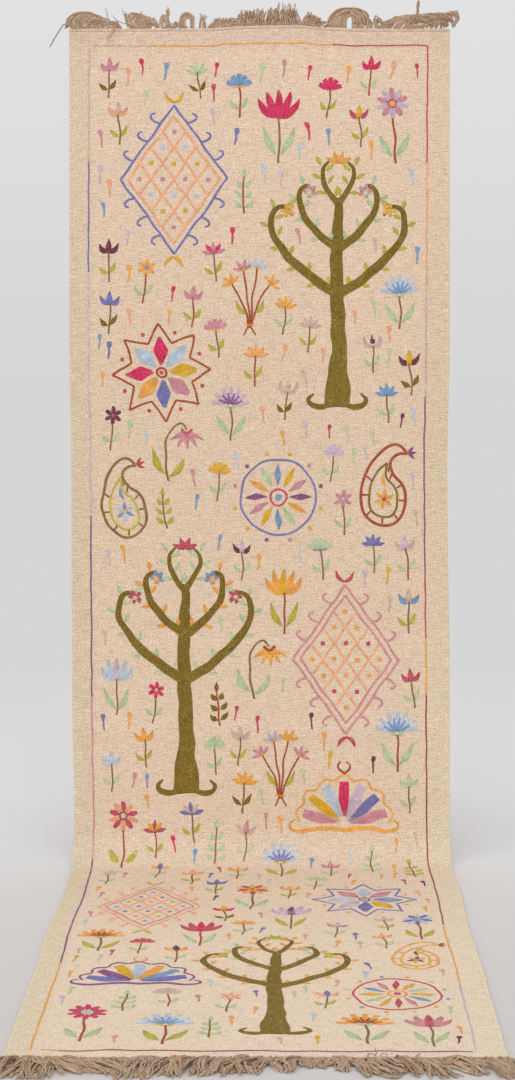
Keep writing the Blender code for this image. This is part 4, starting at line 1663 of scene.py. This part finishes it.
class KILIM_OT_sprigs(bpy.types.Operator):
    """Fills the field with small flowering sprigs"""

    bl_idname = "kilim.sprigs"
    bl_label = "Sprigs"

    def execute(self, context):
        chance = random.Random(17)
        rows = []
        first_column, _, spacing = SPRIG_GRIDS[0][1]
        wanted = [
            (across, along, furthest)
            for down, over, furthest in SPRIG_GRIDS
            for along in np.arange(*down)
            for across in np.arange(*over)
        ]
        for across, along, furthest in wanted:
            along += SPRIG_DROP * (round((across - first_column) / spacing) % 2)
            maker = chance.choice(SPRIG_KINDS)
            turn, scale = chance.uniform(-7, 7), chance.uniform(0.90, 1.08)
            across += chance.uniform(-0.01, 0.01)
            place = settle(maker, across, along, turn, scale, clearance=3, furthest=furthest)
            first, second = chance.sample(BRIGHTS, 2)
            colours = (chance.choice(STEMS), chance.choice(LEAVES), first, chance.choice((first, second)))
            if place:
                rows.append((*place, colours))
        sew_on("sprigs", rows)
        return {"FINISHED"}


class KILIM_OT_seeds(bpy.types.Operator):
    """Scatters seed pins between the motifs"""

    bl_idname = "kilim.seeds"
    bl_label = "Seed pins"

    def execute(self, context):
        chance = random.Random(23)
        rows = []
        for along in np.arange(0.07, 2.8, 0.043):
            for across in np.arange(-0.33, 0.34, 0.047):
                x, y = across + chance.uniform(-0.012, 0.012), along + chance.uniform(-0.012, 0.012)
                turn, scale = chance.uniform(-10, 10), chance.uniform(0.9, 1.15)
                place = settle(seed, x, y, turn, scale, clearance=2, furthest=0.012)
                colour = chance.choice(BRIGHTS)
                if place:
                    rows.append((*place, (colour, colour)))
        sew_on("seed_pins", rows)
        return {"FINISHED"}


class KILIM_OT_stitch_backs(bpy.types.Operator):
    """Lays the backs of all the stitches on the reverse of the cloth"""

    bl_idname = "kilim.stitch_backs"
    bl_label = "Backs of the stitches"

    def execute(self, context):
        if not SEWN:
            raise RuntimeError("nothing has been stitched yet")
        sew_on("stitch_backs", SEWN, back=True)
        return {"FINISHED"}


class KILIM_OT_top_fringe(bpy.types.Operator):
    """Makes the warp ends that stand on the top edge"""

    bl_idname = "kilim.top_fringe"
    bl_label = "Top fringe"

    def execute(self, context):
        chance = random.Random(31)
        fringe = yarn_piece("top_fringe", top_yarns(chance) + twined_row(0.005))
        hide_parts("fringe_top")
        return {"FINISHED"}


class KILIM_OT_front_fringe(bpy.types.Operator):
    """Makes the warp ends that lie on the floor"""

    bl_idname = "kilim.front_fringe"
    bl_label = "Front fringe"

    def execute(self, context):
        chance = random.Random(47)
        fringe = yarn_piece("front_fringe", front_yarns(chance) + twined_row(lengths()[2] - 0.004))
        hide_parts("fringe_front")
        return {"FINISHED"}


STEPS = (
    KILIM_OT_studio,
    KILIM_OT_cloth,
    KILIM_OT_border_line,
    KILIM_OT_large_motifs,
    KILIM_OT_flowers,
    KILIM_OT_sprigs,
    KILIM_OT_seeds,
    KILIM_OT_stitch_backs,
    KILIM_OT_top_fringe,
    KILIM_OT_front_fringe,
)


class KILIM_PT_panel(bpy.types.Panel):
    """Lists the kilim's pieces in the order in which they are made"""

    bl_idname = "KILIM_PT_panel"
    bl_label = "Kilim"
    bl_space_type = "VIEW_3D"
    bl_region_type = "UI"
    bl_category = "Kilim"

    def draw(self, context):
        for group in (context.scene.kilim_sizes, context.scene.kilim_wools):
            for name in group.bl_rna.properties.keys():
                if name not in {"rna_type", "name"}:
                    self.layout.prop(group, name)
        for step in STEPS:
            self.layout.operator(step.bl_idname)


CLASSES = (KILIM_PG_sizes, KILIM_PG_wools, *STEPS, KILIM_PT_panel)


def register():
    for cls in CLASSES:
        bpy.utils.register_class(cls)
    bpy.types.Scene.kilim_sizes = PointerProperty(type=KILIM_PG_sizes)
    bpy.types.Scene.kilim_wools = PointerProperty(type=KILIM_PG_wools)


def unregister():
    del bpy.types.Scene.kilim_sizes, bpy.types.Scene.kilim_wools
    for cls in reversed(CLASSES):
        bpy.utils.unregister_class(cls)


def main():
    register()
    for step in STEPS:
        group, name = step.bl_idname.split(".")
        getattr(getattr(bpy.ops, group), name)()


if __name__ == "__main__":
    main()
